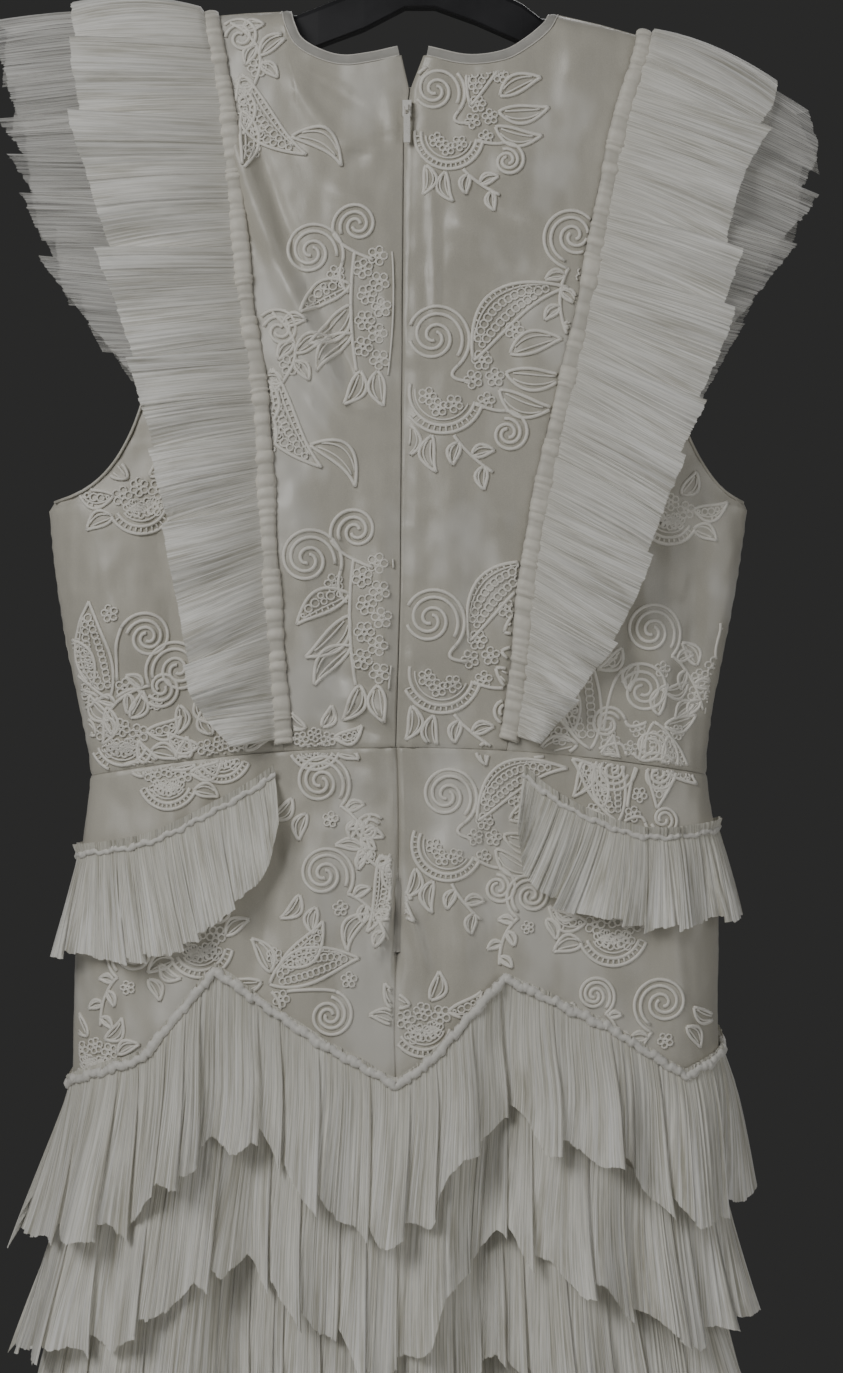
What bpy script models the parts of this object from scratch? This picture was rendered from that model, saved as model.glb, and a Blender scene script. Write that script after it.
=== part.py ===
# A sleeveless ivory dress with pleated ruffles, hung flat on a moulded hanger.
# Blender 4.5, metres, +Z up. The back of the dress faces -Y and its left edge is at -X.
# The origin is the inside top of the hanger's hook. A drop is a depth below that point.
# Tables and sizes are in millimetres, and solids are made in metres.
import math
from collections import namedtuple

import bmesh
import bpy
from mathutils import Vector

mm = 0.001

# Driving sizes, in millimetres
panel_wall = 1.3
frill_wall = 1.3
seam_gap = 0.3
lift_gap = 0.6
shoulder_round = 14.0
section_power = 0.77
reference_drop = 700.0
waist_reference = 560.0
skirt_stations = 80
tier_count = 5
tier_pitch = 73.0
tier_fall = 90.0
tier_flare = 0.195
tier_wave = 7.5
skirt_reach = 385.0
binding_width = 5.5
casing_width = 9.5
casing_height = 5.0
top_ruffle_waves = 22
under_ruffle_waves = 10
hip_ruffle_waves = 9
zip_end_drop = 672.0
slider_drop = 165.0

# Sections of the body, from the shoulders to the hem
BodyRow = namedtuple("BodyRow", "drop centre half_width half_depth")
body_rows = [
    BodyRow(100, -4.0, 208.0, 15.0),
    BodyRow(160, -6.0, 210.0, 19.0),
    BodyRow(222, -8.0, 212.0, 24.0),
    BodyRow(300, -11.0, 213.0, 30.0),
    BodyRow(404, -13.5, 212.5, 37.0),
    BodyRow(450, -14.5, 207.5, 38.5),
    BodyRow(492, -15.0, 200.0, 38.0),
    BodyRow(534, -14.5, 192.0, 36.5),
    BodyRow(569, -13.0, 188.0, 36.5),
    BodyRow(611, -12.5, 193.5, 41.0),
    BodyRow(660, -13.5, 195.5, 46.0),
    BodyRow(718, -15.0, 196.0, 50.0),
    BodyRow(762, -14.0, 198.0, 53.0),
    BodyRow(835, -19.0, 199.0, 58.0),
    BodyRow(905, -21.0, 203.0, 62.0),
    BodyRow(1000, -21.0, 209.0, 67.0),
    BodyRow(1160, -20.0, 218.0, 73.0),
]

# The shoulder seam's line, seen from behind
SeamRow = namedtuple("SeamRow", "x drop")
shoulder_rows = [
    SeamRow(-152, 111.5),
    SeamRow(-129, 106.0),
    SeamRow(-105, 104.0),
    SeamRow(-84, 103.0),
    SeamRow(84, 105.0),
    SeamRow(110, 111.0),
    SeamRow(138, 119.0),
    SeamRow(152, 124.5),
]

# Neck edges between the two necks of the shoulders
back_left_neck = [
    SeamRow(-84, 103.0),
    SeamRow(-83.5, 105.6),
    SeamRow(-81, 115.0),
    SeamRow(-75, 126.0),
    SeamRow(-62, 134.0),
    SeamRow(-46, 138.0),
    SeamRow(-29, 136.0),
    SeamRow(-12.4, 132.5),
]
back_right_neck = [
    SeamRow(4, 132.5),
    SeamRow(28, 137.5),
    SeamRow(51, 135.0),
    SeamRow(66, 127.0),
    SeamRow(78, 117.0),
    SeamRow(83.2, 107.6),
    SeamRow(84, 105.0),
]
front_neck = [
    SeamRow(-84, 103.0),
    SeamRow(-83.5, 105.6),
    SeamRow(-80, 128.0),
    SeamRow(-71, 152.0),
    SeamRow(-54, 174.0),
    SeamRow(-30, 190.0),
    SeamRow(0, 196.0),
    SeamRow(30, 190.0),
    SeamRow(54, 175.0),
    SeamRow(71, 153.0),
    SeamRow(80, 130.0),
    SeamRow(83.5, 107.6),
    SeamRow(84, 105.0),
]

# Lines down the bodice: casings, armholes and the two edges of the centre back
LineRow = namedtuple("LineRow", "drop x")
left_casing = [
    LineRow(100, -129.5),
    LineRow(125, -124.0),
    LineRow(162, -117.0),
    LineRow(222, -111.0),
    LineRow(282, -105.0),
    LineRow(342, -96.0),
    LineRow(438, -90.0),
    LineRow(498, -85.5),
    LineRow(560, -81.0),
]
right_casing = [
    LineRow(100, 141.0),
    LineRow(125, 136.0),
    LineRow(162, 124.0),
    LineRow(222, 111.0),
    LineRow(270, 102.0),
    LineRow(312, 93.0),
    LineRow(366, 80.0),
    LineRow(438, 66.0),
    LineRow(522, 57.0),
    LineRow(560, 50.5),
]
left_armhole = [
    LineRow(100, -145.0),
    LineRow(200, -147.0),
    LineRow(250, -150.0),
    LineRow(300, -156.0),
    LineRow(340, -166.0),
    LineRow(364, -175.0),
    LineRow(384, -188.0),
    LineRow(397, -205.0),
    LineRow(404, -226.0),
]
right_armhole = [
    LineRow(100, 151.0),
    LineRow(200, 147.0),
    LineRow(250, 146.0),
    LineRow(300, 149.0),
    LineRow(340, 155.0),
    LineRow(364, 162.0),
    LineRow(384, 173.0),
    LineRow(397, 185.0),
    LineRow(404, 199.0),
]
underarm_drop = 404.0
back_left_edge = [
    LineRow(120, -14.0),
    LineRow(153, -6.6),
    LineRow(185, -10.0),
    LineRow(462, -12.0),
    LineRow(560, -15.0),
]
back_right_edge = [
    LineRow(120, 7.0),
    LineRow(153, -5.8),
    LineRow(185, -9.6),
    LineRow(462, -11.6),
    LineRow(560, -14.6),
]

# Ruffle edges, a row for each place along the casing: top layer and under layer
RuffleRow = namedtuple("RuffleRow", "drop edge_x edge_drop edge_depth")
left_top_ruffle = [
    RuffleRow(106, -213, 101, 20),
    RuffleRow(125, -210, 124, 27),
    RuffleRow(162, -206, 166, 35),
    RuffleRow(222, -196, 222, 42),
    RuffleRow(282, -183, 280, 46),
    RuffleRow(342, -168, 338, 49),
    RuffleRow(390, -156, 392, 51),
    RuffleRow(438, -147, 446, 52),
    RuffleRow(498, -140, 506, 51),
    RuffleRow(530, -128, 534, 49),
    RuffleRow(547, -112, 551, 46),
]
right_top_ruffle = [
    RuffleRow(119, 218, 149, 18),
    RuffleRow(135, 212, 168, 26),
    RuffleRow(162, 199, 193, 34),
    RuffleRow(200, 189, 228, 42),
    RuffleRow(240, 186, 270, 45),
    RuffleRow(282, 180, 312, 47),
    RuffleRow(320, 168, 345, 49),
    RuffleRow(366, 152, 386, 51),
    RuffleRow(410, 140, 424, 52),
    RuffleRow(450, 129, 464, 52),
    RuffleRow(490, 109, 497, 51),
    RuffleRow(525, 88, 529, 48),
    RuffleRow(545, 72, 549, 45),
]
left_under_ruffle = [
    RuffleRow(106, -254, 113, 10),
    RuffleRow(125, -252, 138, 13),
    RuffleRow(162, -249, 170, 17),
    RuffleRow(222, -236, 218, 23),
    RuffleRow(262, -222, 258, 28),
    RuffleRow(300, -204, 290, 32),
    RuffleRow(332, -178, 326, 35),
]
right_under_ruffle = [
    RuffleRow(119, 233, 164, 9),
    RuffleRow(135, 241, 186, 13),
    RuffleRow(162, 236, 208, 17),
    RuffleRow(200, 226, 240, 23),
    RuffleRow(240, 210, 268, 28),
    RuffleRow(282, 190, 300, 32),
    RuffleRow(320, 176, 330, 35),
    RuffleRow(348, 164, 358, 37),
]

# Hip ruffles, from the side seam to the inner end, the same in front
HipRow = namedtuple("HipRow", "from_side drop fall lean")
left_hip_ruffle = [
    HipRow(0, 618, 57, -1),
    HipRow(60, 609, 65, -3),
    HipRow(102, 589, 57, 2),
    HipRow(127, 575, 47, 0),
    HipRow(139, 567, 26, 0),
]
right_hip_ruffle = [
    HipRow(0, 600, 51, 1),
    HipRow(62, 605, 52, 0),
    HipRow(98, 594, 50, 8),
    HipRow(122, 580, 42, 7),
    HipRow(138, 567, 28, 3),
]

# The zigzag seam under the hips, with side +1 at the back and -1 in front
ZigRow = namedtuple("ZigRow", "side x drop")
zigzag_rows = [
    ZigRow(1, -214, 758),
    ZigRow(1, -160, 737),
    ZigRow(1, -113, 684),
    ZigRow(1, -60, 727),
    ZigRow(1, -14, 751),
    ZigRow(1, 12, 736),
    ZigRow(1, 58, 688),
    ZigRow(1, 108, 719),
    ZigRow(1, 158, 748),
    ZigRow(1, 182, 731),
    ZigRow(-1, 100, 690),
    ZigRow(-1, 40, 728),
    ZigRow(-1, -14, 751),
    ZigRow(-1, -60, 728),
    ZigRow(-1, -124, 690),
    ZigRow(-1, -180, 736),
]

# Long folds of the skirt, and how deep they are below the zigzag seam
FoldRow = namedtuple("FoldRow", "side x half_span depth")
fold_rows = [
    FoldRow(1, -92, 40, 31),
    FoldRow(1, 54, 44, 33),
    FoldRow(1, 138, 24, 7),
    FoldRow(1, -170, 24, 6),
    FoldRow(-1, -84, 44, 29),
    FoldRow(-1, 60, 42, 31),
    FoldRow(-1, 150, 26, 8),
]
DeepRow = namedtuple("DeepRow", "below share")
deep_rows = [
    DeepRow(0, 0.0),
    DeepRow(tier_pitch, 0.46),
    DeepRow(tier_pitch * 2, 0.78),
    DeepRow(tier_pitch * 3, 0.93),
    DeepRow(tier_pitch * 4, 0.98),
    DeepRow(skirt_reach, 1.0),
]

# The hanger: its upper edge, height and thickness
HangerRow = namedtuple("HangerRow", "x drop height thick")
hanger_rows = [
    HangerRow(-141, 110.6, 15, 7),
    HangerRow(-129, 107.7, 18, 9),
    HangerRow(-105, 105.7, 21, 10),
    HangerRow(-75, 104.7, 23, 10),
    HangerRow(-62, 99.5, 25, 11),
    HangerRow(-34, 88.0, 26, 12),
    HangerRow(-9, 74.0, 27, 12),
    HangerRow(9, 74.0, 27, 12),
    HangerRow(34, 84.0, 26, 12),
    HangerRow(62, 97.5, 25, 11),
    HangerRow(74, 106.8, 22, 10),
    HangerRow(84, 107.0, 23, 10),
    HangerRow(110, 112.7, 20, 10),
    HangerRow(138, 120.7, 17, 9),
    HangerRow(148, 124.8, 14, 7),
]
hook_inner_radius = 19.0
hook_wire_radius = 1.7
hook_foot_drop = 73.7

# Colours with roughness and metallic value
Finish = namedtuple("Finish", "colour roughness metallic")
satin = Finish((0.56, 0.54, 0.49), 0.42, 0.0)
tulle = Finish((0.62, 0.60, 0.54), 0.75, 0.0)
organza = Finish((0.48, 0.47, 0.43), 0.6, 0.0)
cord_cloth = Finish((0.60, 0.56, 0.47), 0.6, 0.0)
plastic = Finish((0.02, 0.02, 0.022), 0.4, 0.0)
steel = Finish((0.55, 0.55, 0.56), 0.3, 1.0)
zip_metal = Finish((0.70, 0.68, 0.62), 0.35, 1.0)


# Reading tables

def smooth_row(rows, key):
    # A row between the rows of a table, on a smooth curve through them
    index = 1
    while index < len(rows) - 1 and rows[index].drop < key:
        index += 1
    start = rows[index - 1]
    end = rows[index]
    before = rows[index - 2] if index > 1 else start
    after = rows[index + 1] if index + 1 < len(rows) else end
    span = end.drop - start.drop
    share = min(1.0, max(0.0, (key - start.drop) / span))
    values = []
    for column in range(len(start)):
        start_slope = (end[column] - before[column]) / (end.drop - before.drop) * span
        end_slope = (after[column] - start[column]) / (after.drop - start.drop) * span
        cube = share ** 3
        square = share ** 2
        value = (2 * cube - 3 * square + 1) * start[column]
        value += (cube - 2 * square + share) * start_slope
        value += (3 * square - 2 * cube) * end[column]
        value += (cube - square) * end_slope
        values.append(value)
    return type(start)(*values)


def straight_row(rows, key):
    # A row between the rows of a table, on straight lines, read by the first column
    index = 1
    while index < len(rows) - 1 and rows[index][0] < key:
        index += 1
    start = rows[index - 1]
    end = rows[index]
    share = min(1.0, max(0.0, (key - start[0]) / (end[0] - start[0])))
    return type(start)(*[a + (b - a) * share for a, b in zip(start, end)])


def signed_power(value, power):
    return math.copysign(abs(value) ** power, value)


def uneven(number):
    # A fixed value from 0 to 1 for a whole number
    value = math.sin(number * 12.9898 + 4.1) * 43758.5453
    return value - math.floor(value)


# The body's surface, as an angle round a flattened section: 0 left side, 90 back, 180 right side

def angle_at(x, drop, side):
    row = smooth_row(body_rows, drop)
    share = max(-1.0, min(1.0, (row.centre - x) / row.half_width))
    angle = math.degrees(math.acos(signed_power(share, 1 / section_power)))
    return angle if side > 0 else 360.0 - angle


def shoulder_drop(x):
    return straight_row(shoulder_rows, x).drop


def surface_at(angle, drop):
    row = smooth_row(body_rows, drop)
    turn = math.radians(angle)
    x = row.centre - row.half_width * signed_power(math.cos(turn), section_power)
    y = -row.half_depth * signed_power(math.sin(turn), section_power)
    below = max(0.0, min(1.0, (drop - shoulder_drop(x)) / shoulder_round))
    y *= math.sqrt(1 - (1 - below) ** 2)
    return Vector((x, y, -drop))


def outward_at(angle, drop):
    row = smooth_row(body_rows, drop)
    turn = math.radians(angle)
    rest = 2 / section_power - 1
    across = -signed_power(math.cos(turn), section_power * rest) / row.half_width
    depth = -signed_power(math.sin(turn), section_power * rest) / row.half_depth
    return Vector((across, depth, 0)).normalized()


def section_angles():
    # Angles that part the reference section into equal lengths, with each quarter alike
    fine_steps = 400
    points = [surface_at(90.0 * i / fine_steps, reference_drop) for i in range(fine_steps + 1)]
    lengths = [0.0]
    for first, second in zip(points, points[1:]):
        lengths.append(lengths[-1] + (second - first).length)
    per_quarter = skirt_stations // 4
    quarter = []
    for station in range(per_quarter):
        wanted = lengths[-1] * station / per_quarter
        index = max(1, min(fine_steps, sum(1 for length in lengths if length < wanted)))
        share = (wanted - lengths[index - 1]) / (lengths[index] - lengths[index - 1])
        quarter.append(90.0 * (index - 1 + share) / fine_steps)
    first_half = quarter + [90.0] + [180.0 - angle for angle in reversed(quarter[1:])]
    second_half = [360.0 - angle for angle in reversed(first_half[1:])]
    return first_half + [180.0] + second_half, lengths[-1] / per_quarter


station_angles, station_length = section_angles()


def station_angle(place):
    # The angle at a place in stations, which may lie between two of them
    whole = math.floor(place)
    share = place - whole
    start = station_angles[whole % skirt_stations]
    end = station_angles[(whole + 1) % skirt_stations]
    if end < start:
        end += 360.0
    return (start + (end - start) * share) % 360.0


def even_station(side, x):
    # The nearest even station to a place across the reference section
    wanted = angle_at(x, reference_drop, side) % 360.0
    distances = []
    for station in range(0, skirt_stations, 2):
        away = abs(station_angles[station] - wanted)
        distances.append((min(away, 360.0 - away), station))
    return min(distances)[1]


# Solids

def give_material(item, finish):
    material = bpy.data.materials.new(item.name)
    material.use_nodes = True
    shader = material.node_tree.nodes["Principled BSDF"]
    shader.inputs["Base Color"].default_value = (*finish.colour, 1.0)
    shader.inputs["Roughness"].default_value = finish.roughness
    shader.inputs["Metallic"].default_value = finish.metallic
    item.data.materials.append(material)


def make_solid(name, points, faces, finish, smooth=True):
    shape = bmesh.new()
    corners = [shape.verts.new(point * mm) for point in points]
    for face in faces:
        shape.faces.new([corners[index] for index in face])
    bmesh.ops.recalc_face_normals(shape, faces=shape.faces)
    if shape.calc_volume(signed=True) < 0:
        bmesh.ops.reverse_faces(shape, faces=shape.faces)
    mesh = bpy.data.meshes.new(name)
    shape.to_mesh(mesh)
    shape.free()
    if smooth:
        mesh.shade_smooth()
        mesh.set_sharp_from_angle(angle=math.radians(50))
    item = bpy.data.objects.new(name, mesh)
    bpy.context.scene.collection.objects.link(item)
    give_material(item, finish)
    return item


def make_wall(name, outer, inner, finish, closed=False):
    # A wall between two grids of points with the same rows and columns
    rows = len(outer)
    columns = len(outer[0])
    points = [point for row in outer for point in row]
    points += [point for row in inner for point in row]
    layer = rows * columns
    spans = columns if closed else columns - 1
    faces = []
    for row in range(rows - 1):
        for column in range(spans):
            here = row * columns + column
            beside = row * columns + (column + 1) % columns
            faces.append((here, beside, beside + columns, here + columns))
            faces.append((layer + here, layer + here + columns, layer + beside + columns, layer + beside))
    for column in range(spans):
        here = column
        beside = (column + 1) % columns
        faces.append((here, layer + here, layer + beside, beside))
        here += (rows - 1) * columns
        beside += (rows - 1) * columns
        faces.append((here, beside, layer + beside, layer + here))
    if not closed:
        for row in range(rows - 1):
            here = row * columns
            below = here + columns
            faces.append((here, below, layer + below, layer + here))
            here += columns - 1
            below += columns - 1
            faces.append((here, layer + here, layer + below, below))
    return make_solid(name, points, faces, finish)


def moved(grid, directions, distance):
    return [[p + n * distance for p, n in zip(line, ways)] for line, ways in zip(grid, directions)]


def make_loft(name, rings, finish, smooth=True):
    # A bar through rings of points, closed at both ends
    size = len(rings[0])
    points = [point for ring in rings for point in ring]
    faces = []
    for index in range(len(rings) - 1):
        for corner in range(size):
            here = index * size + corner
            beside = index * size + (corner + 1) % size
            faces.append((here, beside, beside + size, here + size))
    faces.append(tuple(range(size)))
    faces.append(tuple(len(points) - size + corner for corner in reversed(range(size))))
    return make_solid(name, points, faces, finish, smooth)


# Bodice

def waist_drop(x):
    middle_x = -10.0
    rise = 17.0
    reach = 188.0
    return 550.5 + rise * ((x - middle_x) / reach) ** 2


def seam_angle(drop, side, at_right):
    # The angle of a side seam's edge, half a seam gap away from the side
    depth = smooth_row(body_rows, drop).half_depth
    small = math.degrees(math.asin((seam_gap / 2 / depth) ** (1 / section_power)))
    angle = 180.0 - small if at_right else small
    return angle if side > 0 else 360.0 - angle


def cloth_normal(angle, drop):
    # The way out of the cloth, which turns up where it bends over the shoulder
    below = max(0.0, drop - shoulder_drop(surface_at(angle, drop).x))
    rise = max(0.0, 1 - below / shoulder_round)
    return outward_at(angle, drop) * math.sqrt(1 - rise ** 2) + Vector((0, 0, rise))


def line_angle(rows, drop, side, shift=0.0):
    return angle_at(smooth_row(rows, drop).x + shift, drop, side)


def armhole_angle(rows, drop, side, at_right):
    if drop >= underarm_drop:
        return seam_angle(drop, side, at_right)
    return line_angle(rows, drop, side)


def make_panel(name, side, start_line, end_line, top_points):
    # Cloth between two lines, from a row of top points down to the waist
    grid = []
    normals = []
    for level in panel_levels:
        line = []
        ways = []
        for column, top in enumerate(top_points):
            start = start_line(top.drop)
            end = end_line(top.drop)
            share = (angle_at(top.x, top.drop, side) - start) / (end - start)
            if column in (0, len(top_points) - 1):
                share = round(share)
            foot_start = start_line(waist_reference)
            foot_angle = foot_start + (end_line(waist_reference) - foot_start) * share
            foot_x = surface_at(foot_angle, waist_reference).x
            foot = waist_drop(foot_x) - seam_gap / 2
            drop = top.drop + (foot - top.drop) * level
            start = start_line(drop)
            end = end_line(drop)
            angle = start + (end - start) * share
            point = surface_at(angle, drop)
            point.y -= side * seam_gap / 2 * (1 if level == 0 else 0)
            line.append(point)
            ways.append(cloth_normal(angle, drop))
        grid.append(line)
        normals.append(ways)
    return make_wall(name, grid, moved(grid, normals, -panel_wall), satin)


# Rows of every bodice panel, as shares of the way from the shoulder to the waist
panel_levels = [0, 0.006, 0.016, 0.031, 0.1, 0.21, 0.33, 0.45, 0.54, 0.6, 0.632, 0.645, 0.76, 0.88, 1.0]


def top_line(start_x, end_x, neck):
    # The top edge of a panel, along the shoulder seams and a neck edge
    places = [row for row in neck if start_x <= row.x <= end_x]
    places += [SeamRow(x, shoulder_drop(x)) for x in (-106, 108, 122) if start_x < x < end_x]
    for x in (start_x, end_x):
        if all(abs(x - row.x) > seam_gap for row in places):
            places.append(SeamRow(x, shoulder_drop(x)))
    return sorted(places)


def casing_seam(rows, side, shift):
    return lambda drop: line_angle(rows, drop, side, shift)


def make_bodice():
    half = seam_gap / 2
    left_top = smooth_row(left_casing, 106).x
    right_top = smooth_row(right_casing, 119).x
    make_panel(
        "back_centre_left",
        1,
        casing_seam(left_casing, 1, half),
        lambda drop: angle_at(straight_row(back_left_edge, drop).x, drop, 1),
        top_line(left_top + half, -12.4, back_left_neck),
    )
    make_panel(
        "back_centre_right",
        1,
        lambda drop: angle_at(straight_row(back_right_edge, drop).x, drop, 1),
        casing_seam(right_casing, 1, -half),
        top_line(4, right_top - half, back_right_neck),
    )
    make_panel(
        "front_centre",
        -1,
        casing_seam(left_casing, -1, half),
        casing_seam(right_casing, -1, -half),
        top_line(left_top + half, right_top - half, front_neck),
    )
    for side, face in ((1, "back"), (-1, "front")):
        make_side_panel(f"{face}_side_left", side, left_armhole, left_casing, False)
        make_side_panel(f"{face}_side_right", side, right_armhole, right_casing, True)


def make_side_panel(name, side, armhole, casing, at_right):
    # The strap beside the armhole, and the side below the underarm
    top_drop = 106 if not at_right else 119
    sign = 1 if at_right else -1
    inner_x = smooth_row(casing, top_drop).x + sign * seam_gap / 2
    outer_x = smooth_row(armhole, top_drop).x
    columns = 5
    crossings = [outer_x + (inner_x - outer_x) * column / columns for column in range(columns + 1)]
    places = [SeamRow(x, shoulder_drop(x)) for x in crossings]
    make_panel(
        name,
        side,
        lambda drop: armhole_angle(armhole, drop, side, at_right),
        casing_seam(casing, side, sign * seam_gap / 2),
        places,
    )


def make_binding(name, side, neck):
    # A narrow strip that stands on a neck edge
    edge = [Vector((row.x, row.drop)) for row in neck]
    on_seam = [row.drop - shoulder_drop(row.x) < seam_gap for row in neck]
    normals = [cloth_normal(angle_at(row.x, row.drop, side), row.drop) for row in neck]
    ways = []
    for index in range(len(edge)):
        along = edge[min(index + 1, len(edge) - 1)] - edge[max(index - 1, 0)]
        way = Vector((along.y, -along.x)).normalized()
        ways.append(Vector((way.x, 0)) if on_seam[index] else way)
    grid = []
    for distance in (seam_gap * 1.4, binding_width / 2, binding_width):
        line = []
        for place, way, at_seam in zip(edge, ways, on_seam):
            flat = place + way * distance
            point = surface_at(angle_at(flat.x, flat.y, side), flat.y)
            if at_seam:
                point.y = -side * seam_gap / 2
            line.append(point)
        grid.append(line)
    make_wall(name, grid, moved(grid, [normals] * len(grid), -panel_wall), organza)


# Casings and shoulder ruffles

def strap_ridge(rows, outward_shift):
    # The drop at which a line crosses the shoulder seam
    drop = 112.0
    for _ in range(5):
        drop = shoulder_drop(smooth_row(rows, drop).x + outward_shift)
    return drop


def wrap_place(along, rows, outward_shift):
    # A place on the strap line, by its length from the shoulder seam: negative at the back
    side = 1 if along <= 0 else -1
    quarter = shoulder_round * math.pi / 2
    away = abs(along)
    ridge = strap_ridge(rows, outward_shift)
    turn = min(away / quarter, 1.0) * math.pi / 2
    drop = ridge + shoulder_round * (1 - math.cos(turn)) + max(0.0, away - quarter)
    x = smooth_row(rows, drop).x + outward_shift
    point = surface_at(angle_at(x, drop, side), drop)
    normal = Vector((0, -side * math.sin(turn), math.cos(turn)))
    return point, normal, drop, math.sin(turn), side


def strap_length(rows, outward_shift, foot_drop):
    ridge = strap_ridge(rows, outward_shift)
    return shoulder_round * math.pi / 2 + foot_drop - ridge - shoulder_round


def make_casing(name, rows, foot_drop):
    # A gathered strip over the seam line, raised on the panels
    length = strap_length(rows, 0.0, foot_drop)
    near = [0, 7, 15, 22, 40]
    far_steps = 11
    far = [40 + (length - 40) * step / far_steps for step in range(1, far_steps + 1)]
    places = sorted([-place for place in near[1:] + far] + near + far)
    outline = [(-0.5, lift_gap), (-0.46, 0.62), (-0.2, 1.0), (0.2, 1.0), (0.46, 0.62), (0.5, lift_gap)]
    rings = []
    for place in places:
        ring = []
        for across, height in outline:
            shift = across * casing_width
            point, normal, _, _, _ = wrap_place(place, rows, shift)
            rise = height if height == lift_gap else height * casing_height
            ring.append(point + normal * rise)
        rings.append(ring)
    make_loft(name, rings, cord_cloth)


def make_strap_ruffle(name, casing, rows, sign, waves, root_rise, bulge, wave_size, foot_drop):
    # A pleated layer that springs from a casing and runs over the shoulder
    shift = sign * (casing_width / 2 + 1.0)
    length = strap_length(casing, shift, foot_drop)
    columns = waves * 4
    outer = [[], [], []]
    inner = [[], [], []]
    for column in range(columns + 1):
        along = -length + 2 * length * column / columns
        root, normal, drop, depth_share, side = wrap_place(along, casing, shift)
        row = smooth_row(rows, drop)
        edge = Vector((row.edge_x, -side * row.edge_depth * depth_share, -row.edge_drop))
        size = wave_size * (0.75 + 0.5 * uneven(column // 2 + waves))
        wave = (1, 0, -1, 0)[column % 4] * size
        near_seam = max(0.0, 1 - abs(along) / (shoulder_round * math.pi))
        start = root + normal * root_rise * (1 + near_seam)
        for line, share in enumerate((0.0, 0.5, 1.0)):
            lift = bulge * 4 * share * (1 - share) + wave * share
            point = start.lerp(edge, share) + normal * lift
            outer[line].append(point)
            inner[line].append(point - normal * frill_wall)
    make_wall(name, outer, inner, tulle)


def make_straps():
    make_casing("casing_left", left_casing, 548)
    make_casing("casing_right", right_casing, 546)
    under_rise = lift_gap + frill_wall
    top_rise = under_rise + lift_gap + frill_wall
    layers = (
        ("ruffle_under_left", left_casing, left_under_ruffle, -1, under_ruffle_waves, under_rise, 4, 4.5, 332),
        ("ruffle_under_right", right_casing, right_under_ruffle, 1, under_ruffle_waves, under_rise, 4, 4.5, 348),
        ("ruffle_top_left", left_casing, left_top_ruffle, -1, top_ruffle_waves, top_rise, 5, 5.5, 546),
        ("ruffle_top_right", right_casing, right_top_ruffle, 1, top_ruffle_waves, top_rise, 5, 5.5, 544),
    )
    for layer in layers:
        make_strap_ruffle(*layer)


# Skirt

def zigzag_stations():
    rows = []
    for row in zigzag_rows:
        rows.append(SeamRow(even_station(row.side, row.x), row.drop))
    rows.sort()
    first = rows[0]
    last = rows[-1]
    rows.append(SeamRow(first.x + skirt_stations, first.drop))
    if first.x > 0:
        rows.insert(0, SeamRow(last.x - skirt_stations, last.drop))
    return rows


def zigzag_drop(place):
    return straight_row(zigzag_seam, place % skirt_stations).drop


def fold_share(place):
    # How far the cloth folds in at a place, in millimetres at full depth
    total = 0.0
    for row in fold_rows:
        middle = even_station(row.side, row.x)
        away = abs(place - middle)
        away = min(away, skirt_stations - away) * station_length / row.half_span
        if away < 1:
            total += row.depth * (0.5 + 0.5 * math.cos(math.pi * away))
    return total


def skirt_point(place, drop, stand):
    # A point on the skirt, stood off from the underskirt's outer face
    angle = station_angle(place)
    below = max(0.0, drop - zigzag_drop(place))
    fold = fold_share(place) * straight_row(deep_rows, below).share
    return surface_at(angle, drop) + outward_at(angle, drop) * (stand - fold)


def make_yoke(name, start, end):
    # The hip panel between the waist and the zigzag seam, from station to station
    places = list(range(start, end + 1, 2))
    levels = [0, 0.12, 0.34, 0.56, 0.78, 1.0]
    grid = []
    for level in levels:
        line = []
        for place in places:
            angle = station_angle(place)
            top = waist_drop(surface_at(angle, waist_reference).x) + seam_gap
            drop = top + (zigzag_drop(place) - seam_gap - top) * level
            if place % (skirt_stations // 2) == 0:
                to_right = place % skirt_stations == skirt_stations // 2
                side = 1 if (end <= skirt_stations // 2) else -1
                angle = seam_angle(drop, side, to_right)
            point = surface_at(angle, drop)
            if place % skirt_stations == skirt_stations // 4:
                point.x += seam_gap / 2 * (1 if place == start else -1)
            line.append(point)
        grid.append(line)
    inner = []
    for line in grid:
        inner_line = []
        for place, point in zip(places, line):
            way = outward_at(station_angle(place), -point.z)
            inner_line.append(point - way * panel_wall)
        inner.append(inner_line)
    make_wall(name, grid, inner, satin)


def make_underskirt():
    outer = []
    inner = []
    for row in deep_rows:
        outer_line = []
        inner_line = []
        for place in range(skirt_stations):
            drop = zigzag_drop(place) + seam_gap + row.below
            outer_line.append(skirt_point(place, drop, 0.0))
            inner_line.append(skirt_point(place, drop, -panel_wall))
        outer.append(outer_line)
        inner.append(inner_line)
    make_wall("underskirt", outer, inner, satin, closed=True)


def make_tier(number):
    # A frill all round, on a line that follows the zigzag seam
    outer = [[], []]
    inner = [[], []]
    for place in range(skirt_stations):
        top = zigzag_drop(place) + seam_gap + number * tier_pitch
        phase = place + number
        size = tier_wave * (0.72 + 0.5 * uneven(phase // 2 + 31 * number))
        wave = (1, 0.15, -1, -0.15)[phase % 4] * size
        fall = tier_fall + 5 * math.sin(place * 0.55 + number * 2.1)
        for line, share in enumerate((0.0, 1.0)):
            below = share * fall
            stand = lift_gap + frill_wall + tier_flare * below + wave * share
            outer[line].append(skirt_point(place, top + below, stand))
            inner[line].append(skirt_point(place, top + below, stand - frill_wall))
    make_wall(f"tier_{number + 1}", outer, inner, tulle, closed=True)


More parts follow.
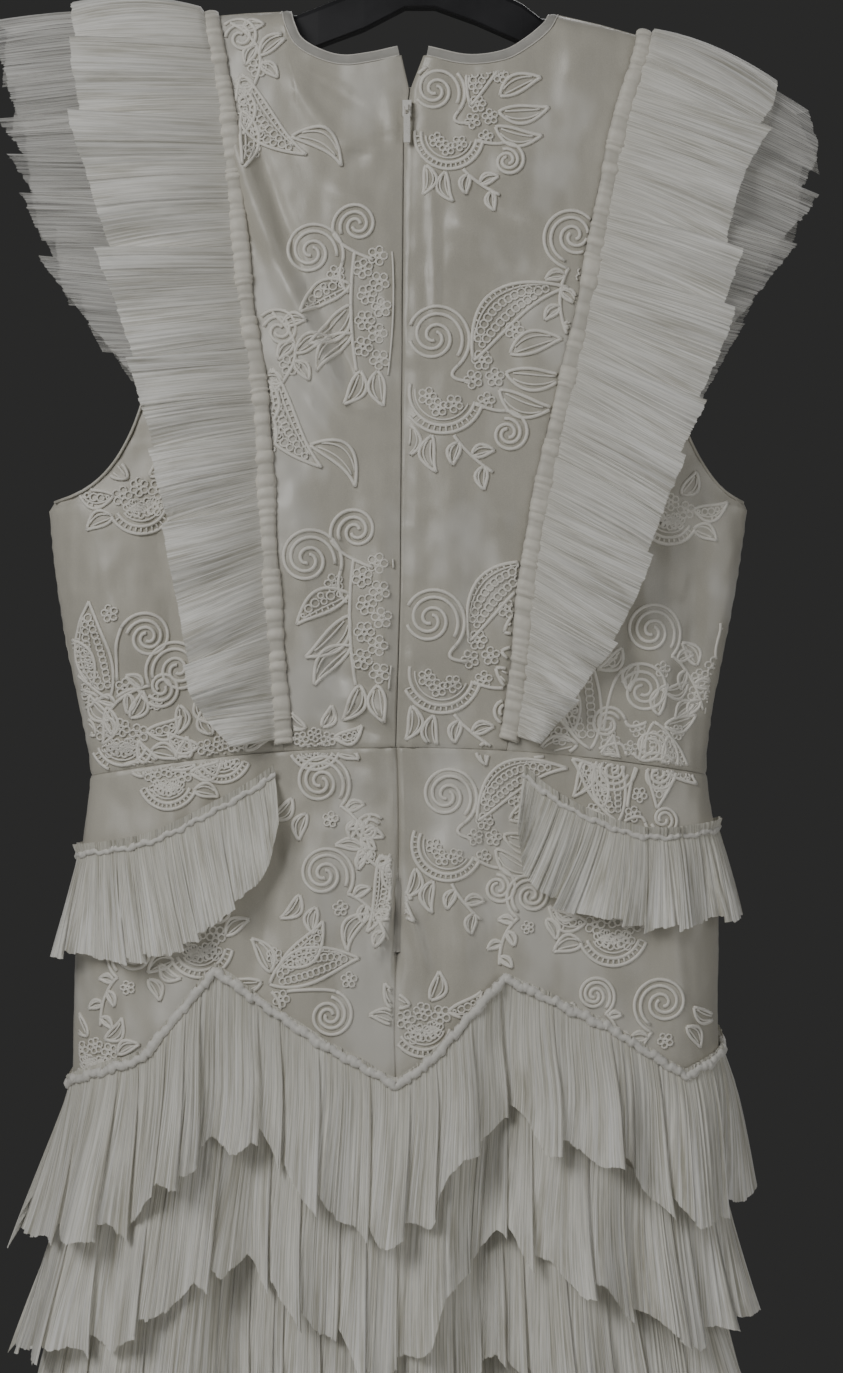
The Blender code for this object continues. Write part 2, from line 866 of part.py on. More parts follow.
def make_hip_ruffle(name, rows, at_right):
    # A frill with a small heading, from the back round the side to the front
    heading = 7.0
    columns = hip_ruffle_waves * 4
    reach = rows[-1].from_side
    middle = skirt_stations // 2 if at_right else 0
    sign = 1 if at_right else -1
    lines = ((-heading, 2.6, 0.16), (0.0, 0.0, 0.0), (0.5, 5.0, 0.5), (1.0, 11.0, 1.0))
    outer = [[] for _ in lines]
    inner = [[] for _ in lines]
    table = [HipRow(*row) for row in rows]
    for column in range(columns + 1):
        away = -reach + 2 * reach * column / columns
        row = straight_row(table, abs(away))
        size = 4.6 * (0.75 + 0.5 * uneven(column // 2 + 7 * sign))
        wave = (1, 0.1, -1, -0.1)[column % 4] * size
        back_to_front = away / station_length * sign
        for line, (part, stand, wave_share) in enumerate(lines):
            below = part if part < 0 else part * row.fall
            lean = max(0.0, part) * row.lean / station_length
            place = middle - back_to_front + lean * (1 if away < 0 else -1)
            drop = row.drop + below
            angle = station_angle(place)
            way = outward_at(angle, drop)
            rise = lift_gap + frill_wall + stand + wave * wave_share
            point = surface_at(angle, drop) + way * rise
            outer[line].append(point)
            inner[line].append(point - way * frill_wall)
    make_wall(name, outer, inner, tulle)


def make_skirt():
    quarter = skirt_stations // 4
    make_yoke("yoke_back_left", 0, quarter)
    make_yoke("yoke_back_right", quarter, quarter * 2)
    make_yoke("yoke_front", quarter * 2, quarter * 4)
    make_underskirt()
    for number in range(tier_count):
        make_tier(number)
    make_hip_ruffle("hip_ruffle_left", left_hip_ruffle, False)
    make_hip_ruffle("hip_ruffle_right", right_hip_ruffle, True)


# Zip

def back_seam_x(drop):
    if drop < 550:
        return (straight_row(back_left_edge, drop).x + straight_row(back_right_edge, drop).x) / 2
    return surface_at(90.0, drop).x


def make_zip_chain():
    # The closed chain behind the centre back
    half_width = 3.5
    depth = panel_wall + lift_gap
    thick = 1.1
    first = 152.0
    steps = 30
    outer = []
    inner = []
    for step in range(steps + 1):
        drop = first + (zip_end_drop - first) * step / steps
        middle = back_seam_x(drop)
        line = []
        for across in (-half_width, half_width):
            point = surface_at(angle_at(middle + across, drop, 1), drop)
            point.y += depth
            line.append(point)
        outer.append(line)
        inner.append([point + Vector((0, thick, 0)) for point in line])
    make_wall("zip_chain", outer, inner, organza)


def slab_with_gaps(name, first_breaks, second_breaks, gaps, place_at, thickness, finish):
    # A flat plate made of cells, with some cells left open
    cells = set()
    for first in range(len(first_breaks) - 1):
        for second in range(len(second_breaks) - 1):
            if (first, second) not in gaps:
                cells.add((first, second))
    points = []
    numbers = {}

    def corner(first, second, layer):
        key = (first, second, layer)
        if key not in numbers:
            numbers[key] = len(points)
            points.append(place_at(first_breaks[first], second_breaks[second], (layer - 0.5) * thickness))
        return numbers[key]

    faces = []
    for first, second in sorted(cells):
        ring = ((first, second), (first + 1, second), (first + 1, second + 1), (first, second + 1))
        faces.append(tuple(corner(a, b, 0) for a, b in ring))
        faces.append(tuple(corner(a, b, 1) for a, b in reversed(ring)))
        beside = ((first, second - 1), (first + 1, second), (first, second + 1), (first - 1, second))
        for index, neighbour in enumerate(beside):
            if neighbour not in cells:
                a = ring[index]
                b = ring[(index + 1) % 4]
                faces.append((corner(*a, 0), corner(*a, 1), corner(*b, 1), corner(*b, 0)))
    return make_solid(name, points, faces, finish, smooth=False)


def make_zip_hardware():
    # The slider with its eye, and the pull tab that swings in the eye
    middle = back_seam_x(slider_drop + 3)
    face = surface_at(angle_at(middle, slider_drop, 1), slider_drop).y
    body_depth = 2.6
    front = face - lift_gap - body_depth
    pin = 1.9
    hinge = Vector((middle, front - pin, -slider_drop))
    body = slab_with_gaps(
        "zip_slider",
        [-2.7, -1.6, 1.6, 2.7],
        [-5.5, -2.0, 2.0, 4.5],
        set(),
        lambda a, b, c: Vector((middle + a, front + body_depth / 2 + c, -slider_drop + b)),
        body_depth,
        zip_metal,
    )
    eye = slab_with_gaps(
        "zip_eye",
        [-pin - 0.6, -1.15, 1.15, 2.0],
        [-2.0, -1.15, 1.15, 2.0],
        {(1, 1)},
        lambda a, b, c: Vector((middle + c, hinge.y - a, hinge.z + b)),
        1.5,
        zip_metal,
    )
    join = body.modifiers.new("eye", "BOOLEAN")
    join.operation = "UNION"
    join.solver = "EXACT"
    join.object = eye
    eye.hide_render = True
    eye.display_type = "WIRE"
    tab = slab_with_gaps(
        "zip_pull",
        [-2.0, -1.25, 1.25, 2.0],
        [-21.5, -4.4, -0.6, 0.6],
        {(1, 1)},
        lambda a, b, c: Vector((a, c, b)),
        1.1,
        zip_metal,
    )
    tab.location = hinge * mm
    soften = tab.modifiers.new("edges", "BEVEL")
    soften.width = 0.00015
    soften.segments = 1
    soften.limit_method = "ANGLE"


# Hanger

def make_hanger():
    rings = []
    for row in hanger_rows:
        half = row.thick / 2
        low = row.drop + row.height
        outline = [
            (-half, row.drop + half * 0.7),
            (-half * 0.7, row.drop + half * 0.2),
            (0, row.drop),
            (half * 0.7, row.drop + half * 0.2),
            (half, row.drop + half * 0.7),
            (half, low - 1),
            (half - 1, low),
            (1 - half, low),
            (-half, low - 1),
        ]
        rings.append([Vector((row.x, y, -drop)) for y, drop in outline])
    make_loft("hanger", rings, plastic)


def make_hook():
    radius = hook_inner_radius + hook_wire_radius
    places = []
    steps = 17
    for step in range(steps + 1):
        turn = math.radians(195 - 245 * step / steps)
        places.append(Vector((radius * math.cos(turn), 0, radius * math.sin(turn) - hook_inner_radius)))
    start = places[-1]
    foot = Vector((0, 0, -hook_foot_drop))
    bend = Vector((0, 0, -hook_inner_radius - radius * 1.35))
    corner = Vector((4.0, 0, -hook_inner_radius - radius * 0.98))
    bend_steps = 6
    for step in range(1, bend_steps + 1):
        share = step / bend_steps
        near = start.lerp(corner, share)
        far = corner.lerp(bend, share)
        places.append(near.lerp(far, share))
    places.append(bend.lerp(foot, 0.5))
    places.append(foot)
    curve = bpy.data.curves.new("hanger_hook", "CURVE")
    curve.dimensions = "3D"
    curve.bevel_depth = hook_wire_radius * mm
    curve.bevel_resolution = 2
    curve.use_fill_caps = True
    line = curve.splines.new("POLY")
    line.points.add(len(places) - 1)
    for point, place in zip(line.points, places):
        point.co = (*(place * mm), 1.0)
    item = bpy.data.objects.new("hanger_hook", curve)
    bpy.context.scene.collection.objects.link(item)
    give_material(item, steel)


for old in list(bpy.data.objects):
    bpy.data.objects.remove(old)

zigzag_seam = zigzag_stations()
make_bodice()
make_binding("neck_binding_back_left", 1, back_left_neck)
make_binding("neck_binding_back_right", 1, back_right_neck)
make_binding("neck_binding_front", -1, front_neck)
make_straps()
make_skirt()
make_zip_chain()
make_zip_hardware()
make_hanger()
make_hook()
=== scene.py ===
import math
import random

import bpy
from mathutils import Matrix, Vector


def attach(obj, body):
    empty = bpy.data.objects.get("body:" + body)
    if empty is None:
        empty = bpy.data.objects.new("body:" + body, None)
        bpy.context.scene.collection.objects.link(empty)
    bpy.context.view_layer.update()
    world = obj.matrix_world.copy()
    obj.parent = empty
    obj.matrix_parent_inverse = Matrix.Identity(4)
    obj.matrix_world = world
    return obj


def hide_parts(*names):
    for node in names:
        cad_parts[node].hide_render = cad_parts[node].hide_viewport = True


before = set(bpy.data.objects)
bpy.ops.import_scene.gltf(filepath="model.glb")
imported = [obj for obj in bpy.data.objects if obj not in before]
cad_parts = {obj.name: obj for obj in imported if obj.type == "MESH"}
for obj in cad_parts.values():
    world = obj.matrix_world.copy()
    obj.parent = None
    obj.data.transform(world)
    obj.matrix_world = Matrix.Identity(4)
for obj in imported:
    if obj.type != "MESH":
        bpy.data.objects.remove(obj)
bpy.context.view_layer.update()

# A sleeveless ivory dress with pleated ruffles, hung flat on a hanger and seen from behind.
# Tables are in millimetres: x across, and drop below the inside top of the hanger's hook.
# side is 1 at the back and -1 in front. Angles go round the body from its left side over the back.
mm = 0.001

photo = {"height": 1373, "millimetresPerPixel": 0.6, "middle": (0.9, -513.9), "plane": -30.0,
         "distance": 1850.0, "sensor": 36.0}
light = {"world": (0.029, 0.029, 0.0285), "worldStrength": 1.0, "floorDrop": 1290.0, "floorHalf": 1500.0,
         "target": (0.0, 0.0, -0.55),
         "lamps": [  # name, place in metres, size, power
             ("key", (-1.5, -1.9, 0.85), (1.3, 1.3), 37.0), ("fill", (1.9, -1.7, -0.2), (1.6, 1.6), 11.0),
             ("rim", (0.6, 1.9, 0.9), (1.6, 1.2), 17.0)]}

body = {
    "rows": [  # drop, centre, half width, half depth
        (100, -4.0, 208.0, 15.0), (160, -6.0, 210.0, 19.0), (222, -8.0, 212.0, 24.0),
        (300, -11.0, 213.0, 30.0), (404, -13.5, 212.5, 37.0), (450, -14.5, 207.5, 38.5),
        (492, -15.0, 200.0, 38.0), (534, -14.5, 192.0, 36.5), (569, -13.0, 188.0, 36.5),
        (611, -12.5, 193.5, 41.0), (660, -13.5, 195.5, 46.0), (718, -15.0, 196.0, 50.0),
        (762, -14.0, 198.0, 53.0), (835, -19.0, 199.0, 58.0), (905, -21.0, 203.0, 62.0),
        (1000, -21.0, 209.0, 67.0), (1160, -20.0, 218.0, 73.0),
    ],
    "shoulder": [  # x, drop
        (-152, 111.5), (-129, 106.0), (-105, 104.0), (-84, 103.0), (84, 105.0), (110, 111.0), (138, 119.0),
        (152, 124.5),
    ],
    "shoulderRound": 14.0,
    "power": 0.77,
    "referenceDrop": 700.0,
    "waistReference": 560.0,
    "underarm": 404.0,
    "stations": 80,
    "roundedAbove": 140.0,  # drop above which the shoulder's rounding counts
    "waist": (550.5, 17.0, -10.0, 188.0),  # drop in the middle, fall to the sides, middle x, half width
}
necks = {  # x, drop
    "backLeft": [(-84, 103.0), (-83.5, 105.6), (-81, 115.0), (-75, 126.0), (-62, 134.0), (-46, 138.0),
                 (-29, 136.0), (-12.4, 132.5)],
    "backRight": [(4, 132.5), (28, 137.5), (51, 135.0), (66, 127.0), (78, 117.0), (83.2, 107.6), (84, 105.0)],
    "front": [(-84, 103.0), (-83.5, 105.6), (-80, 128.0), (-71, 152.0), (-54, 174.0), (-30, 190.0),
              (0, 196.0), (30, 190.0), (54, 175.0), (71, 153.0), (80, 130.0), (83.5, 107.6), (84, 105.0)],
}
lines = {  # drop, x
    "leftCasing": [(100, -129.5), (125, -124.0), (162, -117.0), (222, -111.0), (282, -105.0), (342, -96.0),
                   (438, -90.0), (498, -85.5), (560, -81.0)],
    "rightCasing": [(100, 141.0), (125, 136.0), (162, 124.0), (222, 111.0), (270, 102.0), (312, 93.0),
                    (366, 80.0), (438, 66.0), (522, 57.0), (560, 50.5)],
    "leftArmhole": [(100, -145.0), (200, -147.0), (250, -150.0), (300, -156.0), (340, -166.0), (364, -175.0),
                    (384, -188.0), (397, -205.0), (404, -226.0)],
    "rightArmhole": [(100, 151.0), (200, 147.0), (250, 146.0), (300, 149.0), (340, 155.0), (364, 162.0),
                     (384, 173.0), (397, 185.0), (404, 199.0)],
    "backLeftEdge": [(120, -14.0), (153, -6.6), (185, -10.0), (462, -12.0), (560, -15.0)],
    "backRightEdge": [(120, 7.0), (153, -5.8), (185, -9.6), (462, -11.6), (560, -14.6)],
}


# Reading the tables

def rowAfter(rows, key):
    index = 1
    while index < len(rows) - 1 and rows[index][0] < key:
        index += 1
    return index


def smoothRow(rows, key):  # a row between the rows of a table, on a smooth curve through them
    index = rowAfter(rows, key)
    start, end = rows[index - 1], rows[index]
    before = rows[index - 2] if index > 1 else start
    after = rows[index + 1] if index + 1 < len(rows) else end
    span = end[0] - start[0]
    share = min(1.0, max(0.0, (key - start[0]) / span))
    cube, square = share ** 3, share ** 2
    values = []
    for column in range(len(start)):
        startSlope = (end[column] - before[column]) / (end[0] - before[0]) * span
        endSlope = (after[column] - start[column]) / (after[0] - start[0]) * span
        values.append((2 * cube - 3 * square + 1) * start[column] + (cube - 2 * square + share) * startSlope
                      + (3 * square - 2 * cube) * end[column] + (cube - square) * endSlope)
    return values


def straightRow(rows, key):  # the same on straight lines between them
    index = rowAfter(rows, key)
    start, end = rows[index - 1], rows[index]
    share = min(1.0, max(0.0, (key - start[0]) / (end[0] - start[0])))
    return [a + (b - a) * share for a, b in zip(start, end)]


def signedPower(value, power):  # a power that keeps the sign
    return math.copysign(abs(value) ** power, value)


def uneven(number):  # a fixed value from 0 to 1 for a number
    value = math.sin(number * 12.9898 + 4.1) * 43758.5453
    return value - math.floor(value)


def smoothStep(value):
    value = min(1.0, max(0.0, value))
    return value * value * (3 - 2 * value)


# The body's surface

bodyRowsRead = {}


def bodyAt(drop):  # the section there: drop, centre, half width, half depth
    key = round(drop * 8)
    if key not in bodyRowsRead:
        bodyRowsRead[key] = smoothRow(body["rows"], key / 8)
    return bodyRowsRead[key]


def angleAt(x, drop, side):
    _, centre, halfWidth, _ = bodyAt(drop)
    share = max(-1.0, min(1.0, (centre - x) / halfWidth))
    angle = math.degrees(math.acos(signedPower(share, 1 / body["power"])))
    return angle if side > 0 else 360.0 - angle


def shoulderDrop(x):
    return straightRow(body["shoulder"], x)[1]


def surfaceAt(angle, drop):
    _, centre, halfWidth, halfDepth = bodyAt(drop)
    turn = math.radians(angle)
    x = centre - halfWidth * signedPower(math.cos(turn), body["power"])
    y = -halfDepth * signedPower(math.sin(turn), body["power"])
    below = 1.0
    if drop < body["roundedAbove"]:
        below = max(0.0, min(1.0, (drop - shoulderDrop(x)) / body["shoulderRound"]))
    return Vector((x, y * math.sqrt(1 - (1 - below) ** 2), -drop))


def outwardAt(angle, drop):
    _, _, halfWidth, halfDepth = bodyAt(drop)
    turn = math.radians(angle)
    rest = 2 - body["power"]
    return Vector((-signedPower(math.cos(turn), rest) / halfWidth,
                   -signedPower(math.sin(turn), rest) / halfDepth, 0)).normalized()


def clothNormal(angle, drop):
    if drop > body["roundedAbove"]:
        return outwardAt(angle, drop)
    below = max(0.0, drop - shoulderDrop(surfaceAt(angle, drop).x))
    rise = max(0.0, 1 - below / body["shoulderRound"])
    return outwardAt(angle, drop) * math.sqrt(1 - rise ** 2) + Vector((0, 0, rise))


def sectionAngles():  # angles that part the reference section into equal lengths, with each quarter alike
    fineSteps = 400
    points = [surfaceAt(90.0 * step / fineSteps, body["referenceDrop"]) for step in range(fineSteps + 1)]
    lengths = [0.0]
    for first, second in zip(points, points[1:]):
        lengths.append(lengths[-1] + (second - first).length)
    perQuarter = body["stations"] // 4
    quarter = []
    for station in range(perQuarter):
        wanted = lengths[-1] * station / perQuarter
        index = max(1, min(fineSteps, sum(1 for length in lengths if length < wanted)))
        share = (wanted - lengths[index - 1]) / (lengths[index] - lengths[index - 1])
        quarter.append(90.0 * (index - 1 + share) / fineSteps)
    firstHalf = quarter + [90.0] + [180.0 - angle for angle in reversed(quarter[1:])]
    secondHalf = [360.0 - angle for angle in reversed(firstHalf[1:])]
    return firstHalf + [180.0] + secondHalf, lengths[-1] / perQuarter


stationAngles, stationLength = sectionAngles()


def stationAngle(place):
    whole = math.floor(place)
    start = stationAngles[whole % body["stations"]]
    end = stationAngles[(whole + 1) % body["stations"]]
    if end < start:
        end += 360.0
    return (start + (end - start) * (place - whole)) % 360.0


def stationAt(angle):  # the place in stations at an angle
    low, high = 0.0, float(body["stations"])
    for _ in range(22):
        middle = (low + high) / 2
        if stationAngle(middle) < angle:
            low = middle
        else:
            high = middle
    return low


def evenStation(side, x):  # the nearest station with an even number
    wanted = angleAt(x, body["referenceDrop"], side) % 360.0
    distances = []
    for station in range(0, body["stations"], 2):
        away = abs(stationAngles[station] - wanted)
        distances.append((min(away, 360.0 - away), station))
    return min(distances)[1]


def waistDrop(x):
    drop, fall, middle, half = body["waist"]
    return drop + fall * ((x - middle) / half) ** 2


# Meshes

def makeMesh(name, points, faces, finish, uvs=None, thickness=0.0):
    mesh = bpy.data.meshes.new(name)
    mesh.from_pydata([tuple(point * mm) for point in points], [], faces)
    if uvs:
        layer = mesh.uv_layers.new(name="along")
        for loop in mesh.loops:
            layer.data[loop.index].uv = uvs[loop.vertex_index]
    mesh.shade_smooth()
    mesh.materials.append(finish)
    shownName = name + "_cloth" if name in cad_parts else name
    item = bpy.data.objects.new(shownName, mesh)
    bpy.context.scene.collection.objects.link(item)
    if thickness:
        wall = item.modifiers.new("thickness", "SOLIDIFY")
        wall.thickness = thickness * mm
        wall.offset = -1.0
    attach(item, "dress")
    return item


def gridOf(levels, places, pointAt):  # rows of points, and rows of their places on the flat cloth
    cells = [[pointAt(level, place) for place in places] for level in levels]
    return [[point for point, _ in row] for row in cells], [[uv for _, uv in row] for row in cells]


def gridFaces(rows, columns, closed):
    faces = []
    for row in range(rows - 1):
        for column in range(columns if closed else columns - 1):
            here, beside = row * columns + column, row * columns + (column + 1) % columns
            faces.append((here, here + columns, beside + columns, beside))
    return faces


def makeSheet(name, grid, finish, uvGrid=None, closed=False, thickness=0.0):
    points = [point for row in grid for point in row]
    uvs = [place for row in uvGrid for place in row] if uvGrid else None
    return makeMesh(name, points, gridFaces(len(grid), len(grid[0]), closed), finish, uvs, thickness)


def tubeParts(points, normals, radius, sides=5, flat=0.75):
    # a raised cord through points, as corners and faces; flat lowers it towards the cloth
    corners, faces, last = [], [], len(points) - 1
    for index, (point, normal) in enumerate(zip(points, normals)):
        along = (points[min(last, index + 1)] - points[max(0, index - 1)]).normalized()
        across = along.cross(normal).normalized()
        up = across.cross(along)
        size = radius(index / last) if callable(radius) else radius
        for corner in range(sides):
            turn = 2 * math.pi * (corner + 0.5) / sides - math.pi / 2
            corners.append(point + across * math.cos(turn) * size + up * math.sin(turn) * size * flat)
    for index in range(last):
        for corner in range(sides):
            here, beside = index * sides + corner, index * sides + (corner + 1) % sides
            faces.append((here, beside, beside + sides, here + sides))
    faces.append(tuple(reversed(range(sides))))
    faces.append(tuple(last * sides + corner for corner in range(sides)))
    return corners, faces


class Joined:  # many small pieces gathered into one mesh
    def __init__(self):
        self.points, self.faces = [], []

    def add(self, corners, faces):
        first = len(self.points)
        self.points += corners
        self.faces += [tuple(first + index for index in face) for face in faces]

    def make(self, name, finish):
        return makeMesh(name, self.points, self.faces, finish)


# Materials

class Value:  # a socket of the material that is being made, with arithmetic
    def __init__(self, graph, socket):
        self.graph, self.socket = graph, socket

    def calc(self, operation, first, second):
        return self.graph.node("ShaderNodeMath", {"operation": operation}, {0: first, 1: second})

    def __add__(self, other):
        return self.calc("ADD", self, other)

    def __radd__(self, other):
        return self.calc("ADD", other, self)

    def __sub__(self, other):
        return self.calc("SUBTRACT", self, other)

    def __rsub__(self, other):
        return self.calc("SUBTRACT", other, self)

    def __mul__(self, other):
        return self.calc("MULTIPLY", self, other)

    def __rmul__(self, other):
        return self.calc("MULTIPLY", other, self)


class Graph:
    def __init__(self, name):
        self.material = bpy.data.materials.new(name)
        self.material.use_nodes = True
        self.tree = self.material.node_tree
        self.tree.nodes.clear()

    def node(self, kind, settings=None, inputs=None, output=0):
        made = self.tree.nodes.new(kind)
        for key, value in (settings or {}).items():
            setattr(made, key, value)
        for key, value in (inputs or {}).items():
            if isinstance(value, Value):
                self.tree.links.new(value.socket, made.inputs[key])
            else:
                made.inputs[key].default_value = value
        return Value(self, made.outputs[output])

    def place(self, scale=(1, 1, 1), uv=False):
        source = self.node("ShaderNodeTexCoord", output=2 if uv else 3)
        return self.node("ShaderNodeMapping", {}, {"Vector": source, "Scale": scale})

    def noise(self, size, scale=(1, 1, 1), detail=3.0, uv=False, rough=0.55):
        return self.node("ShaderNodeTexNoise", {}, {"Vector": self.place(scale, uv), "Scale": size,
                                                   "Detail": detail, "Roughness": rough})

    def mix(self, factor, first, second):
        return self.node("ShaderNodeMix", {"data_type": "RGBA"}, {0: factor, 6: first, 7: second}, 2)

    def cells(self, size):  # the distance to the threads of a net
        return self.node("ShaderNodeTexVoronoi", {"feature": "DISTANCE_TO_EDGE"},
                         {"Vector": self.place(), "Scale": size})

    def spread(self, value, low, high, atLow=0.0, atHigh=1.0, soft=False):
        return self.node("ShaderNodeMapRange", {"interpolation_type": "SMOOTHSTEP" if soft else "LINEAR"},
                         {0: value, 1: low, 2: high, 3: atLow, 4: atHigh})

    def bump(self, height, strength, distance, normal=None):
        inputs = {"Height": height, "Strength": strength, "Distance": distance}
        if normal:
            inputs["Normal"] = normal
        return self.node("ShaderNodeBump", {}, inputs)

    def finish(self, varying, fixed):
        shader = self.node("ShaderNodeBsdfPrincipled", {}, {**varying, **fixed})
        output = self.tree.nodes.new("ShaderNodeOutputMaterial")
        self.tree.links.new(shader.socket, output.inputs["Surface"])
        return self.material


def colour(red, green, blue):
    return (red, green, blue, 1.0)


def satinFinish():
    look = {"light": colour(0.63, 0.60, 0.515), "dark": colour(0.37, 0.35, 0.29),
            "sheen": colour(0.80, 0.785, 0.735), "netColour": colour(0.71, 0.675, 0.59), "net": 1050.0}
    graph = Graph("ivorySatin")
    cloud = graph.noise(9.0, detail=4.0)
    slub = graph.noise(150.0, (1.0, 1.0, 0.05), detail=2.0)
    net = graph.cells(look["net"])
    mesh = graph.spread(net, 0.0, 0.22, 1.0, 0.0, soft=True)
    tone = graph.mix(cloud * 0.8 + slub * 0.25, look["dark"], look["light"])
    # painted sheen: pale blotches of painted highlight over the satin
    paintedSheenPatches = graph.spread(graph.noise(17.0, (1.0, 1.0, 0.6), detail=3.0), 0.50, 0.64, soft=True)
    tone = graph.mix(paintedSheenPatches * 0.5, tone, look["sheen"])
    tone = graph.mix(mesh * 0.22, tone, look["netColour"])
    drape = graph.noise(24.0, (1.0, 1.0, 0.6), detail=2.0)
    normal = graph.bump(drape, 0.7, 0.011)
    normal = graph.bump(mesh, 0.12, 0.0003, normal)
    normal = graph.bump(slub, 0.10, 0.0006, normal)
    rough = cloud * 0.16 + mesh * 0.08 + 0.23
    return graph.finish({"Base Color": tone, "Roughness": rough, "Normal": normal},
                    {"Sheen Weight": 0.25, "Sheen Roughness": 0.5, "Specular IOR Level": 0.6})


def tulleFinish(name, light, dark, sheer, veils):
    # u runs across the pleats, one unit a pleat, and v from the root to the hem
    graph = Graph(name)
    folds = graph.noise(1.0, (0.33, 0.9, 1.0), detail=2.0, uv=True)
    fibres = graph.noise(1.0, (1.5, 1.5, 1.0), detail=5.0, uv=True, rough=0.7)
    threads = graph.noise(1.0, (4.6, 1.3, 1.0), detail=3.0, uv=True, rough=0.65)
    cloud = graph.noise(22.0, detail=3.0)
    # painted shade and light across the folds, a few pleats wide
    paintedFoldShade = graph.spread(folds, 0.34, 0.66, soft=True)
    streaks = graph.spread(fibres, 0.36, 0.62, soft=True)
    hairs = graph.spread(threads, 0.52, 0.66, soft=True)
    # glints are painted highlights on single threads
    glints = graph.spread(graph.noise(1.0, (6.0, 0.8, 1.0), detail=2.0, uv=True), 0.52, 0.60, soft=True)
    # the tone mixes the painted fold shade with fibre streaks and random cloud
    tone = graph.mix(paintedFoldShade * 0.5 + streaks * 0.45 + cloud * 0.2, dark, light)
    tone = graph.mix(hairs * 0.6, tone, light)
    tone = graph.mix(glints * 0.9, tone, colour(1.0, 0.99, 0.95))
    down = graph.node("ShaderNodeSeparateXYZ", {}, {0: graph.place(uv=True)}, 1)
    rootShade = (1 - graph.spread(down, 0.0, 0.75)) * 0.6
    tone = graph.mix(rootShade * (folds * 0.7 + 0.25), tone, dark)
    fray = graph.spread(down, 0.982, 1.0)
    veil = graph.spread(down, 0.0, 1.0, *veils)
    gaps = graph.spread(threads, 0.36, 0.56, 1.0 - sheer, 1.0)
    cut = graph.node("ShaderNodeMath", {"operation": "GREATER_THAN"}, {0: threads * 1.5 + 0.02, 1: fray})
    normal = graph.bump(threads, 0.45, 0.0008)
    return graph.finish({"Base Color": tone, "Roughness": fibres * 0.2 + 0.55, "Alpha": gaps * veil * cut,
                     "Normal": normal},
                    {"Sheen Weight": 0.5, "Sheen Roughness": 0.35, "Specular IOR Level": 0.3})


def threadFinish(name, light, dark, size, pinchShade=None):  # the last colour is the painted shade in the pinches, where v is 0
    graph = Graph(name)
    grain = graph.noise(size, detail=3.0)
    cloud = graph.noise(30.0)
    tone = graph.mix(cloud * 0.5 + grain * 0.5, dark, light)
    if pinchShade:
        # painted shade: the casing darkens where it is pinched and hardly puffed
        puffed = graph.node("ShaderNodeSeparateXYZ", {}, {0: graph.place(uv=True)}, 1)
        tone = graph.mix(graph.spread(puffed, 0.0, 0.55), pinchShade, tone)
    normal = graph.bump(grain, 0.35, 0.0004)
    return graph.finish({"Base Color": tone, "Roughness": grain * 0.25 + 0.42, "Normal": normal},
                    {"Sheen Weight": 0.3, "Sheen Roughness": 0.45})


def organzaFinish():
    graph = Graph("sheerOrganza")
    weave = graph.cells(1500.0)
    cloud = graph.noise(60.0)
    tone = graph.mix(cloud, colour(0.46, 0.45, 0.41), colour(0.62, 0.60, 0.55))
    return graph.finish({"Base Color": tone, "Roughness": cloud * 0.2 + 0.4, "Alpha": cloud * 0.25 + 0.62,
                     "Normal": graph.bump(weave, 0.2, 0.0003)},
                    {"Sheen Weight": 0.4, "Sheen Roughness": 0.4})


def plasticFinish():
    graph = Graph("blackPlastic")
    grain = graph.noise(1400.0, detail=2.0)
    wear = graph.noise(24.0, detail=5.0)
    tone = graph.mix(wear, colour(0.010, 0.010, 0.011), colour(0.030, 0.030, 0.033))
    normal = graph.bump(grain, 0.12, 0.0003)
    return graph.finish({"Base Color": tone, "Roughness": wear * 0.25 + 0.28, "Normal": normal},
                    {"Specular IOR Level": 0.5})


def metalFinish(name, light, dark, rough, metallic=1.0):
    graph = Graph(name)
    brush = graph.noise(700.0, (1.0, 1.0, 0.12), detail=3.0)
    spots = graph.noise(90.0, detail=4.0)
    tone = graph.mix(spots, dark, light)
    normal = graph.bump(brush, 0.08, 0.0002)
    return graph.finish({"Base Color": tone, "Roughness": spots * 0.2 + rough, "Normal": normal},
                    {"Metallic": metallic})


satin = satinFinish()
tulles = {  # light, dark, how open its gaps are, cover at the root and at the hem
    "ruffleTulle": (colour(1.0, 0.985, 0.93), colour(0.51, 0.485, 0.405), 0.24, (1.0, 0.88)),
    "sheerTulle": (colour(1.0, 0.985, 0.94), colour(0.48, 0.465, 0.42), 0.72, (0.80, 0.52)),
    "skirtTulle": (colour(1.0, 0.985, 0.91), colour(0.47, 0.445, 0.355), 0.26, (1.0, 0.88)),
}
ruffleTulle, sheerTulle, skirtTulle = [tulleFinish(name, *values) for name, values in tulles.items()]
# the casing's last colour is the painted shade for its pinches
casingCloth = threadFinish("gatheredCasing", colour(0.86, 0.825, 0.735), colour(0.62, 0.59, 0.51), 420.0,
                           colour(0.46, 0.44, 0.38))
neckCord = threadFinish("neckCord", colour(0.84, 0.81, 0.75), colour(0.62, 0.60, 0.54), 900.0)
headingCloth = threadFinish("gatheredHeading", colour(0.88, 0.86, 0.80), colour(0.62, 0.60, 0.55), 700.0)
cordThread = threadFinish("embroideryCord", colour(0.985, 0.955, 0.875), colour(0.78, 0.75, 0.67), 1500.0)
sewingThread = threadFinish("sewingThread", colour(0.68, 0.66, 0.60), colour(0.50, 0.48, 0.43), 2500.0)
organza = organzaFinish()
print("materials made")


# The cloth's own relief: creases and drapes as soft ridges (+) and troughs (-)

